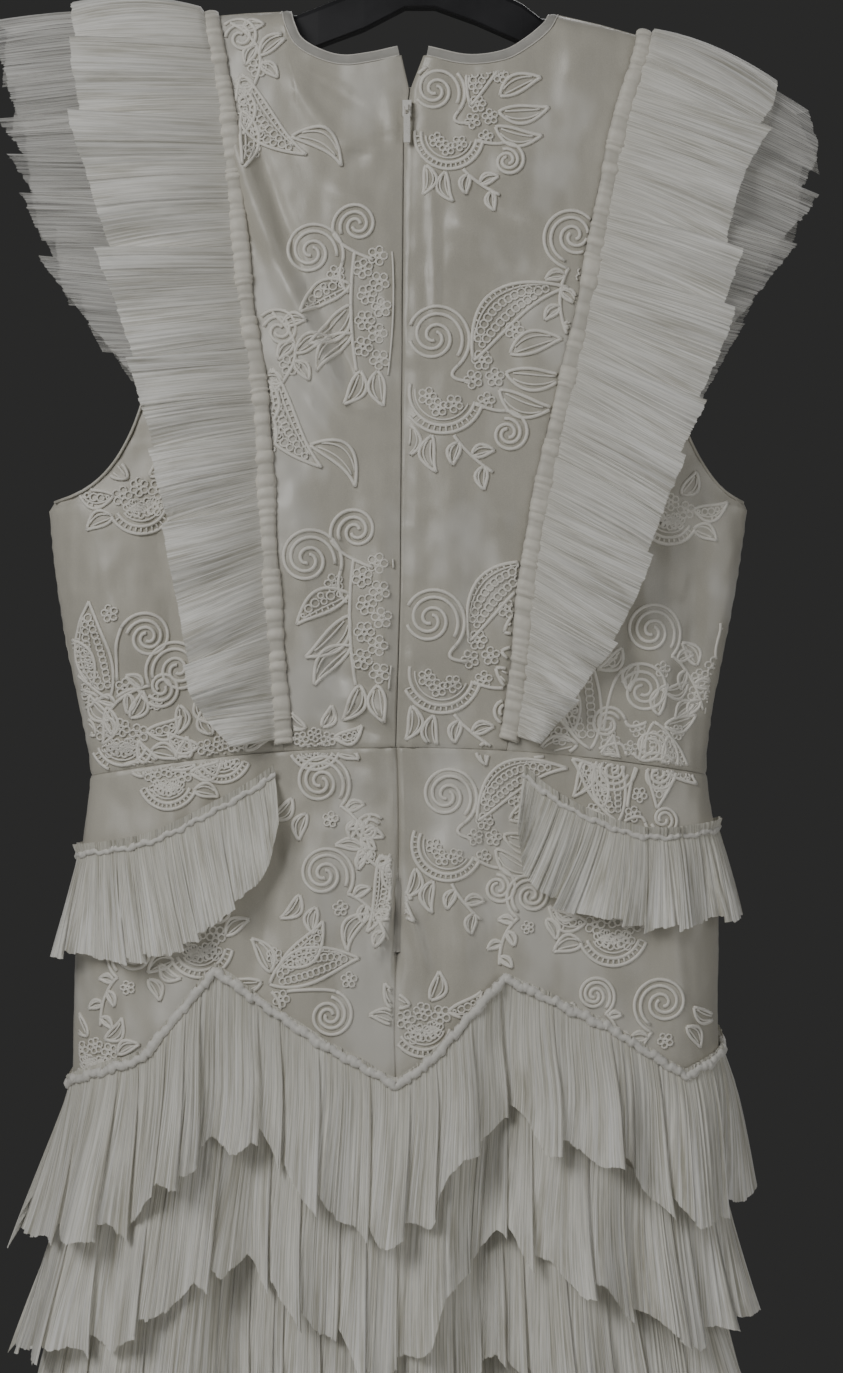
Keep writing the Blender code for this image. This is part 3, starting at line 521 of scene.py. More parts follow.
creases = {
    1: [  # x, drop to x, drop, width, height
        (-113, 180, -85, 262, 6.5, 2.6), (-85, 262, -48, 338, 5.5, 3.0), (-100, 184, -72, 262, 3.6, -1.3),
        (-72, 262, -38, 330, 3.2, -1.3), (-92, 306, -44, 376, 7.0, 1.2), (-52, 342, -14, 352, 3.0, 0.9),
        (-78, 148, -52, 184, 5.0, 1.4), (-70, 140, -26, 168, 3.2, -1.2), (-50, 186, -14, 190, 4.0, 1.1),
        (-46, 200, -20, 182, 3.4, -0.9), (-58, 210, -18, 232, 6.0, 0.9), (-30, 150, -16, 206, 5.0, -0.9),
        (7, 206, 9, 292, 2.6, 1.1), (46, 196, 84, 216, 11.0, 1.3), (14, 232, 58, 250, 10.0, 1.2),
        (48, 264, 86, 268, 8.0, 1.0), (26, 214, 62, 234, 8.0, -1.0), (22, 262, 62, 284, 9.0, -1.0),
        (98, 128, 92, 176, 12.0, 0.8), (60, 300, 74, 350, 8.0, 0.9), (30, 396, 54, 420, 9.0, 1.1),
        (16, 330, 20, 520, 12.0, 1.1), (40, 420, 26, 540, 7.0, -1.0), (-76, 380, -62, 520, 9.0, 1.2),
        (-40, 400, -52, 540, 7.0, -1.0), (-24, 430, -20, 545, 6.0, 0.9), (-58, 516, -16, 534, 3.4, 1.1),
        (-62, 528, -18, 545, 3.0, -1.1), (-70, 500, -22, 516, 3.6, -0.8), (-56, 566, -20, 572, 3.6, 1.1),
        (-62, 580, -22, 586, 4.0, -1.0), (-58, 596, -24, 598, 5.0, 0.8), (6, 572, 38, 564, 4.0, 0.8),
        (-16, 640, -26, 676, 3.4, 2.2), (-8, 642, 4, 684, 3.4, 1.8), (-13, 628, -14, 690, 3.0, -1.8),
        (18, 600, 26, 700, 9.0, 1.5), (40, 590, 48, 690, 8.0, -1.2), (-58, 600, -64, 700, 9.0, 1.4),
        (-84, 596, -96, 676, 7.0, -1.0), (-150, 572, -146, 606, 6.0, 1.2),
        (-120, 566, -124, 590, 5.0, -1.0), (112, 576, 118, 600, 6.0, 1.0), (150, 640, 158, 740, 9.0, 1.2),
        (-180, 660, -172, 740, 8.0, 1.2), (-150, 650, -156, 720, 7.0, -1.0),
        (130, 440, 150, 560, 10.0, 1.3), (170, 410, 160, 540, 8.0, -1.1), (-190, 420, -176, 540, 9.0, 1.2),
        (-160, 400, -150, 500, 8.0, -1.0), (-126, 392, -168, 420, 5.0, 0.9), (120, 400, 164, 428, 5.0, 0.9),
        (-206, 470, -160, 505, 5.0, 0.8),
    ],
    -1: [
        (-96, 214, -56, 318, 9.0, 1.6), (-60, 210, -34, 300, 6.0, -1.1), (-20, 214, -26, 400, 14.0, 1.7),
        (30, 216, 36, 420, 13.0, 1.6), (70, 190, 60, 330, 8.0, -1.1), (4, 220, 2, 330, 7.0, -1.0),
        (-74, 380, -60, 520, 9.0, 1.2), (-30, 430, -40, 545, 8.0, -1.0), (16, 440, 10, 545, 8.0, 1.0),
        (-50, 520, -10, 530, 4.0, 0.9), (10, 536, 40, 528, 4.0, -0.9), (-40, 600, -44, 700, 9.0, 1.2),
        (20, 596, 26, 700, 9.0, 1.2), (-8, 640, -10, 730, 8.0, -1.1), (-150, 570, -146, 606, 6.0, 1.1),
        (118, 574, 124, 602, 6.0, 1.0), (150, 640, 158, 740, 9.0, 1.1), (-176, 660, -170, 736, 8.0, 1.1),
        (130, 440, 150, 560, 10.0, 1.2), (-190, 420, -176, 540, 9.0, 1.2), (-156, 404, -148, 500, 8.0, -1.0),
    ],
}


creaseDepth = 2.5  # how strongly the heights above count
beyond = 0.15  # how far a crease fades out past its ends, as a share of its length


def relief(x, drop, side):
    total = 0.35 * math.sin(x * 0.045 + drop * 0.021 + side) * math.sin(drop * 0.037 - x * 0.018)
    total += 0.16 * math.sin(x * 0.16 - drop * 0.07 + 2.0 * side) * math.sin(drop * 0.11 + x * 0.05)
    for startX, startDrop, endX, endDrop, width, height in creases[side]:
        alongX, alongDrop = endX - startX, endDrop - startDrop
        length = math.hypot(alongX, alongDrop)
        share = ((x - startX) * alongX + (drop - startDrop) * alongDrop) / (length * length)
        if -beyond < share < 1 + beyond:
            away = abs((x - startX) * alongDrop - (drop - startDrop) * alongX) / length
            if away < width * 2.4:
                ends = share + beyond, 1 + beyond - share
                taper = smoothStep(ends[0] / 0.4) * smoothStep(ends[1] / 0.4)
                total += creaseDepth * height * taper * math.exp(-(away / width) ** 2)
    return total


def seamDip(distance, along, pucker):  # the cloth dips into a seam and puckers beside it
    if distance > 14:
        return 0.0
    dip = -0.75 * math.exp(-(distance / 1.3) ** 2)
    return dip + pucker * math.sin(along * 0.62 + 1.7 * math.sin(along * 0.13)) * math.exp(-distance / 5.0)


def onCloth(x, drop, side, lift=0.0):  # a point on the panels with their relief, for what is sewn on them
    angle = angleAt(x, drop, side)
    return surfaceAt(angle, drop) + clothNormal(angle, drop) * (relief(x, drop, side) + lift)


# Bodice panels

bodice = {"column": 3.2, "row": 4.4, "edgeSteps": (0.0, 0.8, 1.7, 3.0), "thickness": 0.6, "pucker": 0.28,
          "length": 430.0, "sideColumns": 30, "zipEdges": (-12.4, 4), "shoulderTops": (106, 119),
          "topLevels": (0.0, 0.003, 0.006, 0.011, 0.016, 0.023, 0.031), "lastLevel": 0.992,
          "footLevels": (0.996, 0.9985, 1.0), "lipReach": 2.4, "lipWidth": 1.6, "lipHeight": 0.9}


def lineAngle(name, side):
    return lambda drop: angleAt(smoothRow(lines[name], drop)[1], drop, side)


def edgeAngle(name):
    return lambda drop: angleAt(straightRow(lines[name], drop)[1], drop, 1)


def armholeAngle(name, side, atRight):
    def read(drop):
        if drop >= body["underarm"]:
            return (180.0 if atRight else (0.0 if side > 0 else 360.0))
        return angleAt(smoothRow(lines[name], drop)[1], drop, side)
    return read


def panelPlaces(startX, endX, neck):
    inner = [row[0] for row in neck if startX < row[0] < endX]
    places = set(inner)
    steps = max(2, round((endX - startX) / bodice["column"]))
    for step in range(steps + 1):
        x = startX + (endX - startX) * step / steps
        if all(abs(x - other) > 1.0 for other in inner):
            places.add(x)
    for away in bodice["edgeSteps"]:
        places.update((startX + away, endX - away))
    return sorted(places)


def topDrop(x, neck):  # where a panel starts: at the neck's edge or the shoulder seam
    if neck and neck[0][0] <= x <= neck[-1][0]:
        return smoothRow(neck, x)[1]
    return shoulderDrop(x)


def makePanel(name, side, startLine, endLine, places, neck, centreBack=None):
    levels, length = list(bodice["topLevels"]), bodice["length"]
    steps = round(length / bodice["row"])
    first, last = levels[-1], bodice["lastLevel"]
    levels += [first + (last - first) * step / steps for step in range(1, steps + 1)]
    levels += bodice["footLevels"]
    widest = abs(places[-1] - places[0])

    def pointAt(level, place):
        column, x = place
        top = topDrop(x, neck)
        start, end = startLine(top), endLine(top)
        share = (angleAt(x, top, side) - start) / (end - start)
        if column in (0, len(places) - 1):  # the panel's edges lie on its seams
            share = round(share)
        footStart = startLine(body["waistReference"])
        footAngle = footStart + (endLine(body["waistReference"]) - footStart) * share
        foot = waistDrop(surfaceAt(footAngle, body["waistReference"]).x)
        drop = top + (foot - top) * level
        start, end = startLine(drop), endLine(drop)
        angle = start + (end - start) * share
        point = surfaceAt(angle, drop)
        away = min(share, 1 - share) * abs(end - start) / 180.0 * widest * 1.6
        rise = relief(point.x, drop, side) * smoothStep((drop - top) / 12.0)
        rise += seamDip(away, drop, bodice["pucker"]) * smoothStep((drop - top) / 10.0)
        rise += seamDip(foot - drop, point.x, bodice["pucker"])
        if centreBack is not None:
            fromZip = (1 - share if centreBack == 1 else share) * abs(end - start) / 180.0 * length
            fromLip = (fromZip - bodice["lipReach"]) / bodice["lipWidth"]
            ripple = 1 + 0.35 * math.sin(drop * 0.23)
            rise += bodice["lipHeight"] * math.exp(-fromLip ** 2) * ripple
        return point + clothNormal(angle, drop) * rise, (share * widest, level * length)

    grid, uvGrid = gridOf(levels, list(enumerate(places)), pointAt)
    panel = makeSheet(name, grid, satin, uvGrid, thickness=bodice["thickness"])
    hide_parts(name)
    declarePanel(panel, grid)


def lineLength(points):
    return sum((b - a).length for a, b in zip(points, points[1:])) * mm


def declarePanel(panel, grid):
    # its flat size is the rectangle round it; the first rows are the shoulder
    width = max(lineLength(row) for row in grid[4:])
    length = max(lineLength(column) for column in zip(*grid))
    print(f"{panel.name}: {width:.3f} by {length:.3f} m flat")


def makeBodice():
    (leftDrop, rightDrop), (zipLeft, zipRight) = bodice["shoulderTops"], bodice["zipEdges"]
    leftTop = smoothRow(lines["leftCasing"], leftDrop)[1]
    rightTop = smoothRow(lines["rightCasing"], rightDrop)[1]
    makePanel("back_centre_left", 1, lineAngle("leftCasing", 1), edgeAngle("backLeftEdge"),
              panelPlaces(leftTop, zipLeft, necks["backLeft"]), necks["backLeft"], 1)
    makePanel("back_centre_right", 1, edgeAngle("backRightEdge"), lineAngle("rightCasing", 1),
              panelPlaces(zipRight, rightTop, necks["backRight"]), necks["backRight"], 0)
    makePanel("front_centre", -1, lineAngle("leftCasing", -1), lineAngle("rightCasing", -1),
              panelPlaces(leftTop, rightTop, necks["front"]), necks["front"])
    for side, face in ((1, "back"), (-1, "front")):
        for hand, atRight, top in (("left", False, leftDrop), ("right", True, rightDrop)):
            inner = smoothRow(lines[hand + "Casing"], top)[1]
            outer = smoothRow(lines[hand + "Armhole"], top)[1]
            steps = bodice["sideColumns"]
            places = [outer + (inner - outer) * step / steps for step in range(steps + 1)]
            makePanel(f"{face}_side_{hand}", side, armholeAngle(hand + "Armhole", side, atRight),
                      lineAngle(hand + "Casing", side), places, None)
    print("bodice made")


makeBodice()


# Neck bindings and armhole edges

binding = {"width": 5.5, "steps": 7, "rows": (0.0, 0.25, 0.5, 0.75, 1.0), "edgeCord": 0.42,
           "cutWidth": 11.0, "cutShare": 0.5}


def makeBinding(name, side, neck):
    coarse = []
    for index, (x, drop) in enumerate(neck):
        before, after = neck[max(0, index - 1)], neck[min(len(neck) - 1, index + 1)]
        way = Vector((after[1] - before[1], before[0] - after[0])).normalized()
        if drop - shoulderDrop(x) < 0.3:
            way = Vector((way.x, 0))
        coarse.append((index, x, drop, way.x, way.y))
    fineSteps = (len(neck) - 1) * binding["steps"]
    edge = [smoothRow(coarse, step / binding["steps"]) for step in range(fineSteps + 1)]

    def pointAt(share, numbered):
        number, (place, x, drop, wayX, wayDrop) = numbered
        distance = share * binding["width"]
        flatX, flatDrop = x + wayX * distance, drop + wayDrop * distance
        flatDrop = max(flatDrop, shoulderDrop(flatX))
        angle = angleAt(flatX, flatDrop, side)
        wobble = 0.35 * math.sin(number * 0.55) * share + 0.5 * math.sin(math.pi * share)
        return surfaceAt(angle, flatDrop) + clothNormal(angle, flatDrop) * wobble, (place * 10, share)

    grid, uvGrid = gridOf(binding["rows"], list(enumerate(edge)), pointAt)
    strip = makeSheet(name, grid, organza, uvGrid)
    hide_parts(name)
    width, length = binding["cutWidth"] * mm, lineLength(grid[2])
    for row, lift in ((grid[-1], 0.0), (grid[0], 0.3)):  # a fine cord on its outer and inner edge
        normals = [clothNormal(angleAt(point.x, -point.z, side), -point.z) for point in row]
        points = [point + normal * lift for point, normal in zip(row, normals)]
        neckCords.add(*tubeParts(points, normals, binding["edgeCord"]))


armholeEdge = {"radius": 0.95, "lift": 0.15, "shoulder": 115, "aboveUnderarm": 1.5, "steps": 110}


def makeArmholeEdges():  # the turned edge of the satin, from shoulder to underarm
    edges = Joined()
    foot, steps = body["underarm"] - armholeEdge["aboveUnderarm"], armholeEdge["steps"]
    for hand in ("left", "right"):
        rows = lines[hand + "Armhole"]
        ridge = shoulderDrop(smoothRow(rows, armholeEdge["shoulder"])[1])
        for side in (1, -1):
            points, normals = [], []
            for step in range(steps + 1):
                drop = ridge + (foot - ridge) * (step / steps) ** 1.25
                angle = angleAt(smoothRow(rows, drop)[1], drop, side)
                normals.append(clothNormal(angle, drop))
                points.append(surfaceAt(angle, drop) + normals[-1] * armholeEdge["lift"])
            edges.add(*tubeParts(points, normals, armholeEdge["radius"], 7, 0.8))
    edges.make("armhole_edges", satin)


neckCords = Joined()
makeBinding("neck_binding_back_left", 1, necks["backLeft"])
makeBinding("neck_binding_back_right", 1, necks["backRight"])
makeBinding("neck_binding_front", -1, necks["front"])
neckCords.make("neck_edge_cords", neckCord)
makeArmholeEdges()
print("neck and armholes made")


# Casings and shoulder ruffles

casing = {"width": 9.5, "height": 2.7, "puffHeight": 3.0, "base": 0.45, "ringStep": 0.9, "corners": 11,
          "feet": (0.42, -0.42), "stitchLine": 0.58, "stitchSteps": 400, "cutWidth": 0.015, "gathering": 1.1}
liftGap, frillWall, seamGap = 0.6, 1.3, 0.3


def ridgeDrop(rows, outwardShift):  # where the strap line crosses the shoulder seam
    ridge = 112.0
    for _ in range(4):
        ridge = shoulderDrop(smoothRow(rows, ridge)[1] + outwardShift)
    return ridge


def wrapPlace(along, rows, outwardShift):  # a place on the strap line, by its length from the shoulder seam
    side = 1 if along <= 0 else -1
    quarter = body["shoulderRound"] * math.pi / 2
    ridge = ridgeDrop(rows, outwardShift)
    turn = min(abs(along) / quarter, 1.0) * math.pi / 2
    drop = ridge + body["shoulderRound"] * (1 - math.cos(turn)) + max(0.0, abs(along) - quarter)
    x = smoothRow(rows, drop)[1] + outwardShift
    point = surfaceAt(angleAt(x, drop, side), drop)
    return point, Vector((0, -side * math.sin(turn), math.cos(turn))), drop, math.sin(turn), side


def strapLength(rows, outwardShift, footDrop):
    ridge = ridgeDrop(rows, outwardShift)
    return body["shoulderRound"] * math.pi / 2 + footDrop - ridge - body["shoulderRound"]


def gatherRidges(length, seed, least=1.8, most=9.0):  # places where a gathered strip is pinched
    rng = random.Random(seed)
    places, heights = [0.0], []
    while places[-1] < length:
        places.append(places[-1] + rng.uniform(least, most))
        heights.append(rng.uniform(0.25, 1.0))
    return places, heights


def puffAt(place, ridges):  # how far a gathered strip is puffed between two pinched places
    places, heights = ridges
    low, high = 0, len(heights) - 1
    while low < high:
        middle = (low + high + 1) // 2
        if places[middle] <= place:
            low = middle
        else:
            high = middle - 1
    share = min(1.0, max(0.0, (place - places[low]) / (places[low + 1] - places[low])))
    floor = 0.5 * min(heights[low], heights[max(0, low - 1)])
    return floor + (heights[low] - floor) * math.sin(math.pi * share) ** 0.8


def makeCasing(name, rows, footDrop, seed):
    length = strapLength(rows, 0.0, footDrop)
    ridges = gatherRidges(2 * length, seed)
    steps = round(2 * length / casing["ringStep"])
    points, faces, uvs = [], [], []
    corners = casing["corners"]
    for step in range(steps + 1):
        along = -length + 2 * length * step / steps
        for corner in range(corners):
            turn = math.pi * corner / (corners - 3)
            isFoot = corner >= corners - 2
            across = casing["feet"][corner - corners + 2] if isFoot else -math.cos(turn) * 0.5
            height = 0.0 if isFoot else math.sin(turn) ** 0.75
            puff = puffAt(along + length + 0.8 * across * math.sin(along * 0.31 + seed), ridges)
            wide = casing["width"] * (1.08 + 0.10 * math.sin(along * 0.09 + seed) + 0.22 * puff)
            point, normal, _, _, _ = wrapPlace(along, rows, across * wide)
            tall = casing["height"] * (1 + 0.14 * math.sin(along * 0.21 + 2 * seed))
            tall += casing["puffHeight"] * puff
            points.append(point + normal * (casing["base"] + height * (tall - casing["base"])))
            # v carries the puff, so the casing's finish can paint shade where it is low
            uvs.append((along, puff))
    for step in range(steps):
        for corner in range(corners):
            here, beside = step * corners + corner, step * corners + (corner + 1) % corners
            faces.append((here, here + corners, beside + corners, beside))
    faces.append(tuple(range(corners)))
    faces.append(tuple(steps * corners + corner for corner in reversed(range(corners))))
    strip = makeMesh(name, points, faces, casingCloth, uvs)
    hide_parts(name)
    2 * length * casing["gathering"] * mm
    count = casing["stitchSteps"]
    for across in (-casing["stitchLine"], casing["stitchLine"]):
        sewAlong([wrapPlace(-length + 2 * length * step / count, rows, across * casing["width"])[:2]
                  for step in range(count + 1)], 0.45)


stitches = Joined()


def sewAlong(places, lift, stitch=2.3, gap=1.1, radius=0.22):  # running stitches through points with normals
    travelled, run = 0.0, []
    for (point, normal), (after, _) in zip(places, places[1:]):
        if travelled % (stitch + gap) < stitch:
            run.append((point + normal * lift, normal))
        else:
            if len(run) > 1:
                stitches.add(*tubeParts([run[0][0], run[-1][0]], [run[0][1], run[-1][1]], radius, 4, 0.8))
            run = []
        travelled += (after - point).length


pleatLook = {"width": (0.35, 1.8), "strength": (0.35, 1.3),
             "profile": ((0.0, -0.65), (0.34, 0.3), (0.5, 1.0), (0.84, -0.2))}  # across a pleat, its rise


def pleatColumns(count, seed, clump):  # across-place, rise, place in its clump, phase, pleat number
    rng = random.Random(seed)
    columns, position, left, size, strength = [], 0.0, 0, 1, 1.0
    for pleat in range(count):
        if left == 0:
            size = left = rng.randint(*clump)
            strength = rng.uniform(*pleatLook["strength"])
        width = rng.uniform(*pleatLook["width"])
        height = 0.15 + 1.9 * rng.random() ** 2.4  # most pleats are low and a few stand high
        phase = rng.uniform(0.0, 6.28)
        for offset, rise in pleatLook["profile"]:
            within = (size - left + offset) / size
            columns.append((position + offset * width, rise * height, (within - 0.5) * strength, phase,
                            pleat + offset))
        position += width
        left -= 1
    return [(at / position, *rest) for at, *rest in columns]


def pleatedSheet(name, columns, rows, pointAt, finish, closed=False):
    grid, uvGrid = [], []
    for share in rows:
        grid.append([pointAt(share, *column[:4]) for column in columns])
        uvGrid.append([(column[4], max(0.0, share)) for column in columns])
    middle = [row[len(columns) // 3] for row in grid]
    frill = makeSheet(name, grid, finish, uvGrid, closed)
    lineLength(middle)
    return frill


def swing(value, sizeOf):  # a wave between its extremes, one every whole number
    whole = math.floor(value)
    share = 0.5 - 0.5 * math.cos(math.pi * (value - whole))
    sign = 1 if whole % 2 == 0 else -1
    return sign * sizeOf(whole) * (1 - share) - sign * sizeOf(whole + 1) * share


ruffles = {
    "leftTop": [  # drop on the casing, edge x, edge drop, edge depth
        (106, -213, 101, 20), (125, -210, 124, 27), (162, -206, 166, 35), (222, -194.5, 228, 42),
        (282, -181, 290, 46), (342, -165, 350, 49), (390, -153.5, 404, 51), (438, -145.5, 458, 52),
        (498, -137, 514, 51), (530, -128, 534, 49), (547, -112, 551, 46)],
    "rightTop": [
        (119, 218, 149, 18), (135, 212, 168, 26), (162, 199, 193, 34), (200, 189, 228, 42),
        (240, 186, 270, 45), (282, 180, 312, 47), (320, 163, 357, 49), (366, 147.5, 401, 51),
        (410, 135, 441, 52), (450, 120, 480, 52), (490, 101, 509, 51), (525, 84, 534, 48),
        (545, 72, 549, 45)],
    "leftUnder": [
        (106, -254, 113, 10), (125, -252, 138, 13), (162, -249, 170, 17), (222, -236, 218, 23),
        (262, -222, 258, 28), (300, -204, 290, 32), (332, -178, 326, 35)],
    "rightUnder": [
        (119, 233, 164, 9), (135, 241, 186, 13), (162, 236, 208, 17), (200, 226, 240, 23),
        (240, 210, 268, 28), (282, 190, 300, 32), (320, 176, 330, 35), (348, 164, 358, 37)],
    "rowsDown": (-0.05, 0.0, 0.03, 0.09, 0.18, 0.3, 0.43, 0.56, 0.69, 0.81, 0.91, 0.97, 1.0),
    "clump": (9, 26), "overlap": 8.5, "proud": 7.0, "step": 0.11, "pleatHeight": 0.65, "tuckedIn": 3.4,
    "made": [  # layer, hand, drop of its foot, pleats, seed
        ("Under", "left", 332, 165, 11), ("Under", "right", 348, 165, 12),
        ("Top", "left", 546, 300, 13), ("Top", "right", 544, 290, 14)],
    "layers": {"Under": {"lifts": 1, "waves": 10, "bulge": 4, "waveSize": 4.5, "finish": sheerTulle},
               "Top": {"lifts": 2, "waves": 22, "bulge": 5, "waveSize": 5.5, "finish": ruffleTulle}},
}


def frayed(share, phase, amount):  # the uneven cut of a hem
    return amount * math.sin(phase * 7.0) if share > 0.99 else 0.0


def pleatHeight(base, growth, spread, share, phase):  # pleats open towards the hem, each a little uneven
    return (base + growth * spread) * (1 + 0.25 * math.sin(3.1 * share + phase))


def makeStrapRuffle(layer, hand, footDrop, pleats, seed):
    look = ruffles["layers"][layer]
    sign, rows, edgeRows = (-1 if hand == "left" else 1), lines[hand + "Casing"], ruffles[hand + layer]
    rootRise, waves = look["lifts"] * (liftGap + frillWall), look["waves"]
    shift = sign * (casing["width"] / 2 + 1.0)
    length = strapLength(rows, shift, footDrop)

    def sizeOf(number):
        return look["waveSize"] * (0.75 + 0.5 * uneven(number + waves))

    def pointAt(share, at, rise, within, phase):
        spread = max(0.0, share) ** 1.3
        wander = 1.1 * math.sin(at * 41.0 + share * 2.3) * spread
        along = -length + 2 * length * at + (ruffles["overlap"] * within + wander) * spread
        along = max(-length, min(length, along))
        root, normal, drop, depthShare, side = wrapPlace(along, rows, shift)
        if share < 0:
            tucked = wrapPlace(along, rows, shift - sign * ruffles["tuckedIn"])[0]
            return tucked + normal * (rootRise * 0.6 + rise * 0.3)
        edge = smoothRow(edgeRows, drop)
        out = Vector((edge[1], -side * edge[3] * depthShare, -edge[2]))
        nearSeam = max(0.0, 1 - abs(along) / (body["shoulderRound"] * math.pi))
        start = root + normal * rootRise * (1 + nearSeam)
        reach = share * (1 + ruffles["step"] * within) + frayed(share, phase, 0.006)
        height = ruffles["pleatHeight"] * pleatHeight(0.42, 0.62, spread, share, phase)
        lift = look["bulge"] * 4 * share * (1 - share) + swing(at * waves * 2, sizeOf) * share
        lift += rise * height + ruffles["proud"] * within * share
        return start.lerp(out, reach) + normal * lift

    columns = pleatColumns(pleats, seed, ruffles["clump"])
    name = f"ruffle_{layer.lower()}_{hand}"
    frill = pleatedSheet(name, columns, ruffles["rowsDown"], pointAt, look["finish"])
    declareFrill(frill, name)


def declareFrill(frill, name):  # hides the frill's part from model.glb
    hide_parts(name)


def makeStraps():
    makeCasing("casing_left", lines["leftCasing"], 548, 3)
    makeCasing("casing_right", lines["rightCasing"], 546, 8)
    for values in ruffles["made"]:
        makeStrapRuffle(*values)
    print("straps made")


makeStraps()


# Skirt

skirt = {
    "zigzag": [  # side, x, drop
        (1, -214, 758), (1, -160, 737), (1, -113, 684), (1, -60, 727), (1, -14, 751), (1, 12, 736),
        (1, 58, 688), (1, 108, 719), (1, 158, 748), (1, 182, 731), (-1, 100, 690), (-1, 40, 728),
        (-1, -14, 751), (-1, -60, 728), (-1, -124, 690), (-1, -180, 736)],
    "folds": [  # side, x, half span, depth
        (1, -92, 40, 31), (1, 54, 44, 33), (1, 138, 24, 7), (1, -170, 24, 6), (-1, -84, 44, 29),
        (-1, 60, 42, 31), (-1, 150, 26, 8)],
    "deep": [(0, 0.0), (36, 0.40), (73, 0.66), (146, 0.88), (219, 0.96), (385, 1.0)],  # below the seam, share
    "hem": [  # x, how much further the tiers fall there
        (-240, -8.0), (-200, 0.0), (-168, 7.0), (-128, 14.0), (-110, 9.0), (-98, -13.0), (-84, -11.0),
        (-66, -3.0), (-38, 1.0), (-8, 0.0), (10, 4.0), (18, -12.0), (62, -13.0), (74, -6.0), (128, -11.0),
        (166, -7.0), (200, 0.0)],
    "hemMiddle": -15.0,
    "tiers": 5, "pitch": 73.0, "fall": 90.0, "flare": 0.195, "wave": 7.5, "pleats": 330,
    "rowsDown": (0.0, 0.05, 0.14, 0.26, 0.4, 0.54, 0.68, 0.81, 0.92, 0.975, 1.0),
    "heading": (-0.066, -0.045, -0.02), "clump": (4, 14), "overlap": 8.5, "proud": 6.0, "step": 0.17,
    "pleatHeight": 1.0, "length": 385.0, "cutLength": 0.40, "underGrid": (320, 40), "zipEnd": 676.0,
}


def zigzagStations():
    rows = sorted((evenStation(side, x), drop) for side, x, drop in skirt["zigzag"])
    first, last = rows[0], rows[-1]
    rows.append((first[0] + body["stations"], first[1]))
    if first[0] > 0:
        rows.insert(0, (last[0] - body["stations"], last[1]))
    return rows


zigzagSeam = zigzagStations()
foldStations = [(evenStation(side, x), halfSpan, depth) for side, x, halfSpan, depth in skirt["folds"]]


def zigzagDrop(place):
    return straightRow(zigzagSeam, place % body["stations"])[1]


def foldShare(place):  # how deep the skirt's folds are there
    total = 0.0
    place %= body["stations"]
    for middle, halfSpan, depth in foldStations:
        away = abs(place - middle)
        away = min(away, body["stations"] - away) * stationLength / halfSpan
        if away < 1:
            total += depth * (0.5 + 0.5 * math.cos(math.pi * away))
    return total


def skirtPoint(place, drop, stand):  # a place on the folded skirt, at a distance out from it
    angle = stationAngle(place % body["stations"])
    below = max(0.0, drop - zigzagDrop(place))
    fold = foldShare(place) * straightRow(skirt["deep"], below)[1]
    return surfaceAt(angle, drop) + outwardAt(angle, drop) * (stand - fold)


def backSeamX(drop):
    if drop < 550:
        return sum(straightRow(lines[name], drop)[1] for name in ("backLeftEdge", "backRightEdge")) / 2
    return surfaceAt(90.0, drop).x


def zipLip(away, drop):  # the rolled edge beside the closed zip
    if drop > skirt["zipEnd"] or away > 9:
        return 0.0
    ripple = 1 + 0.35 * math.sin(drop * 0.23) + 0.2 * math.sin(drop * 0.71)
    return 0.95 * math.exp(-((away - 2.3) / 1.5) ** 2) * ripple


yokeLook = {"perStation": 4, "edges": (0.08, 0.16), "levels": (0.04, 0.97, 34), "under": 1.0,
            "topLevels": (0.0, 0.004, 0.011, 0.02), "footLevels": (0.99, 1.0),
            "waistPucker": 0.3, "pucker": 0.18}


def makeYoke(name, start, end, side):  # start and end are stations
    fine, edges = yokeLook["perStation"], yokeLook["edges"]
    places = {start + step / fine for step in range((end - start) * fine + 1)}
    places = sorted(places | {start + edge for edge in edges} | {end - edge for edge in edges})
    first, last, steps = yokeLook["levels"]
    levels = [first + (last - first) * step / steps for step in range(steps + 1)]
    levels = (*yokeLook["topLevels"], *levels, *yokeLook["footLevels"])

    def pointAt(level, place):
        angle = stationAngle(place) if place < body["stations"] else 360.0
        top = waistDrop(surfaceAt(angle, body["waistReference"]).x)
        drop = top + (zigzagDrop(place) + yokeLook["under"] - top) * level
        point = surfaceAt(angle, drop)
        rise = relief(point.x, drop, side) + seamDip(drop - top, point.x, yokeLook["waistPucker"])
        ends = min(place - start, end - place) * stationLength
        if side > 0:
            rise += zipLip(abs(place - body["stations"] // 4) * stationLength, drop)
        rise += seamDip(ends, drop, yokeLook["pucker"]) * (0.6 if side < 0 else 1.0)
        return point + outwardAt(angle, drop) * rise, (place * stationLength, drop)

    grid, uvGrid = gridOf(levels, places, pointAt)
    yoke = makeSheet(name, grid, satin, uvGrid, thickness=bodice["thickness"])
    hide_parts(name)
    declarePanel(yoke, grid)


def makeUnderskirt():
    (columns, rows), length = skirt["underGrid"], skirt["length"]

    def pointAt(row, column):
        below, place = length * row / rows, column * body["stations"] / columns
        soft = 0.5 * math.sin(place * 1.9 + below * 0.012) * below / length
        point = skirtPoint(place, zigzagDrop(place) + seamGap + below, soft)
        return point, (place * stationLength, below)

    grid, uvGrid = gridOf(range(rows + 1), range(columns), pointAt)
    lining = makeSheet("underskirt", grid, satin, uvGrid, closed=True)
    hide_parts("underskirt")
    around = lineLength(grid[-1])
    print(f"underskirt: {around:.2f} by {skirt['cutLength']:.2f} m flat")


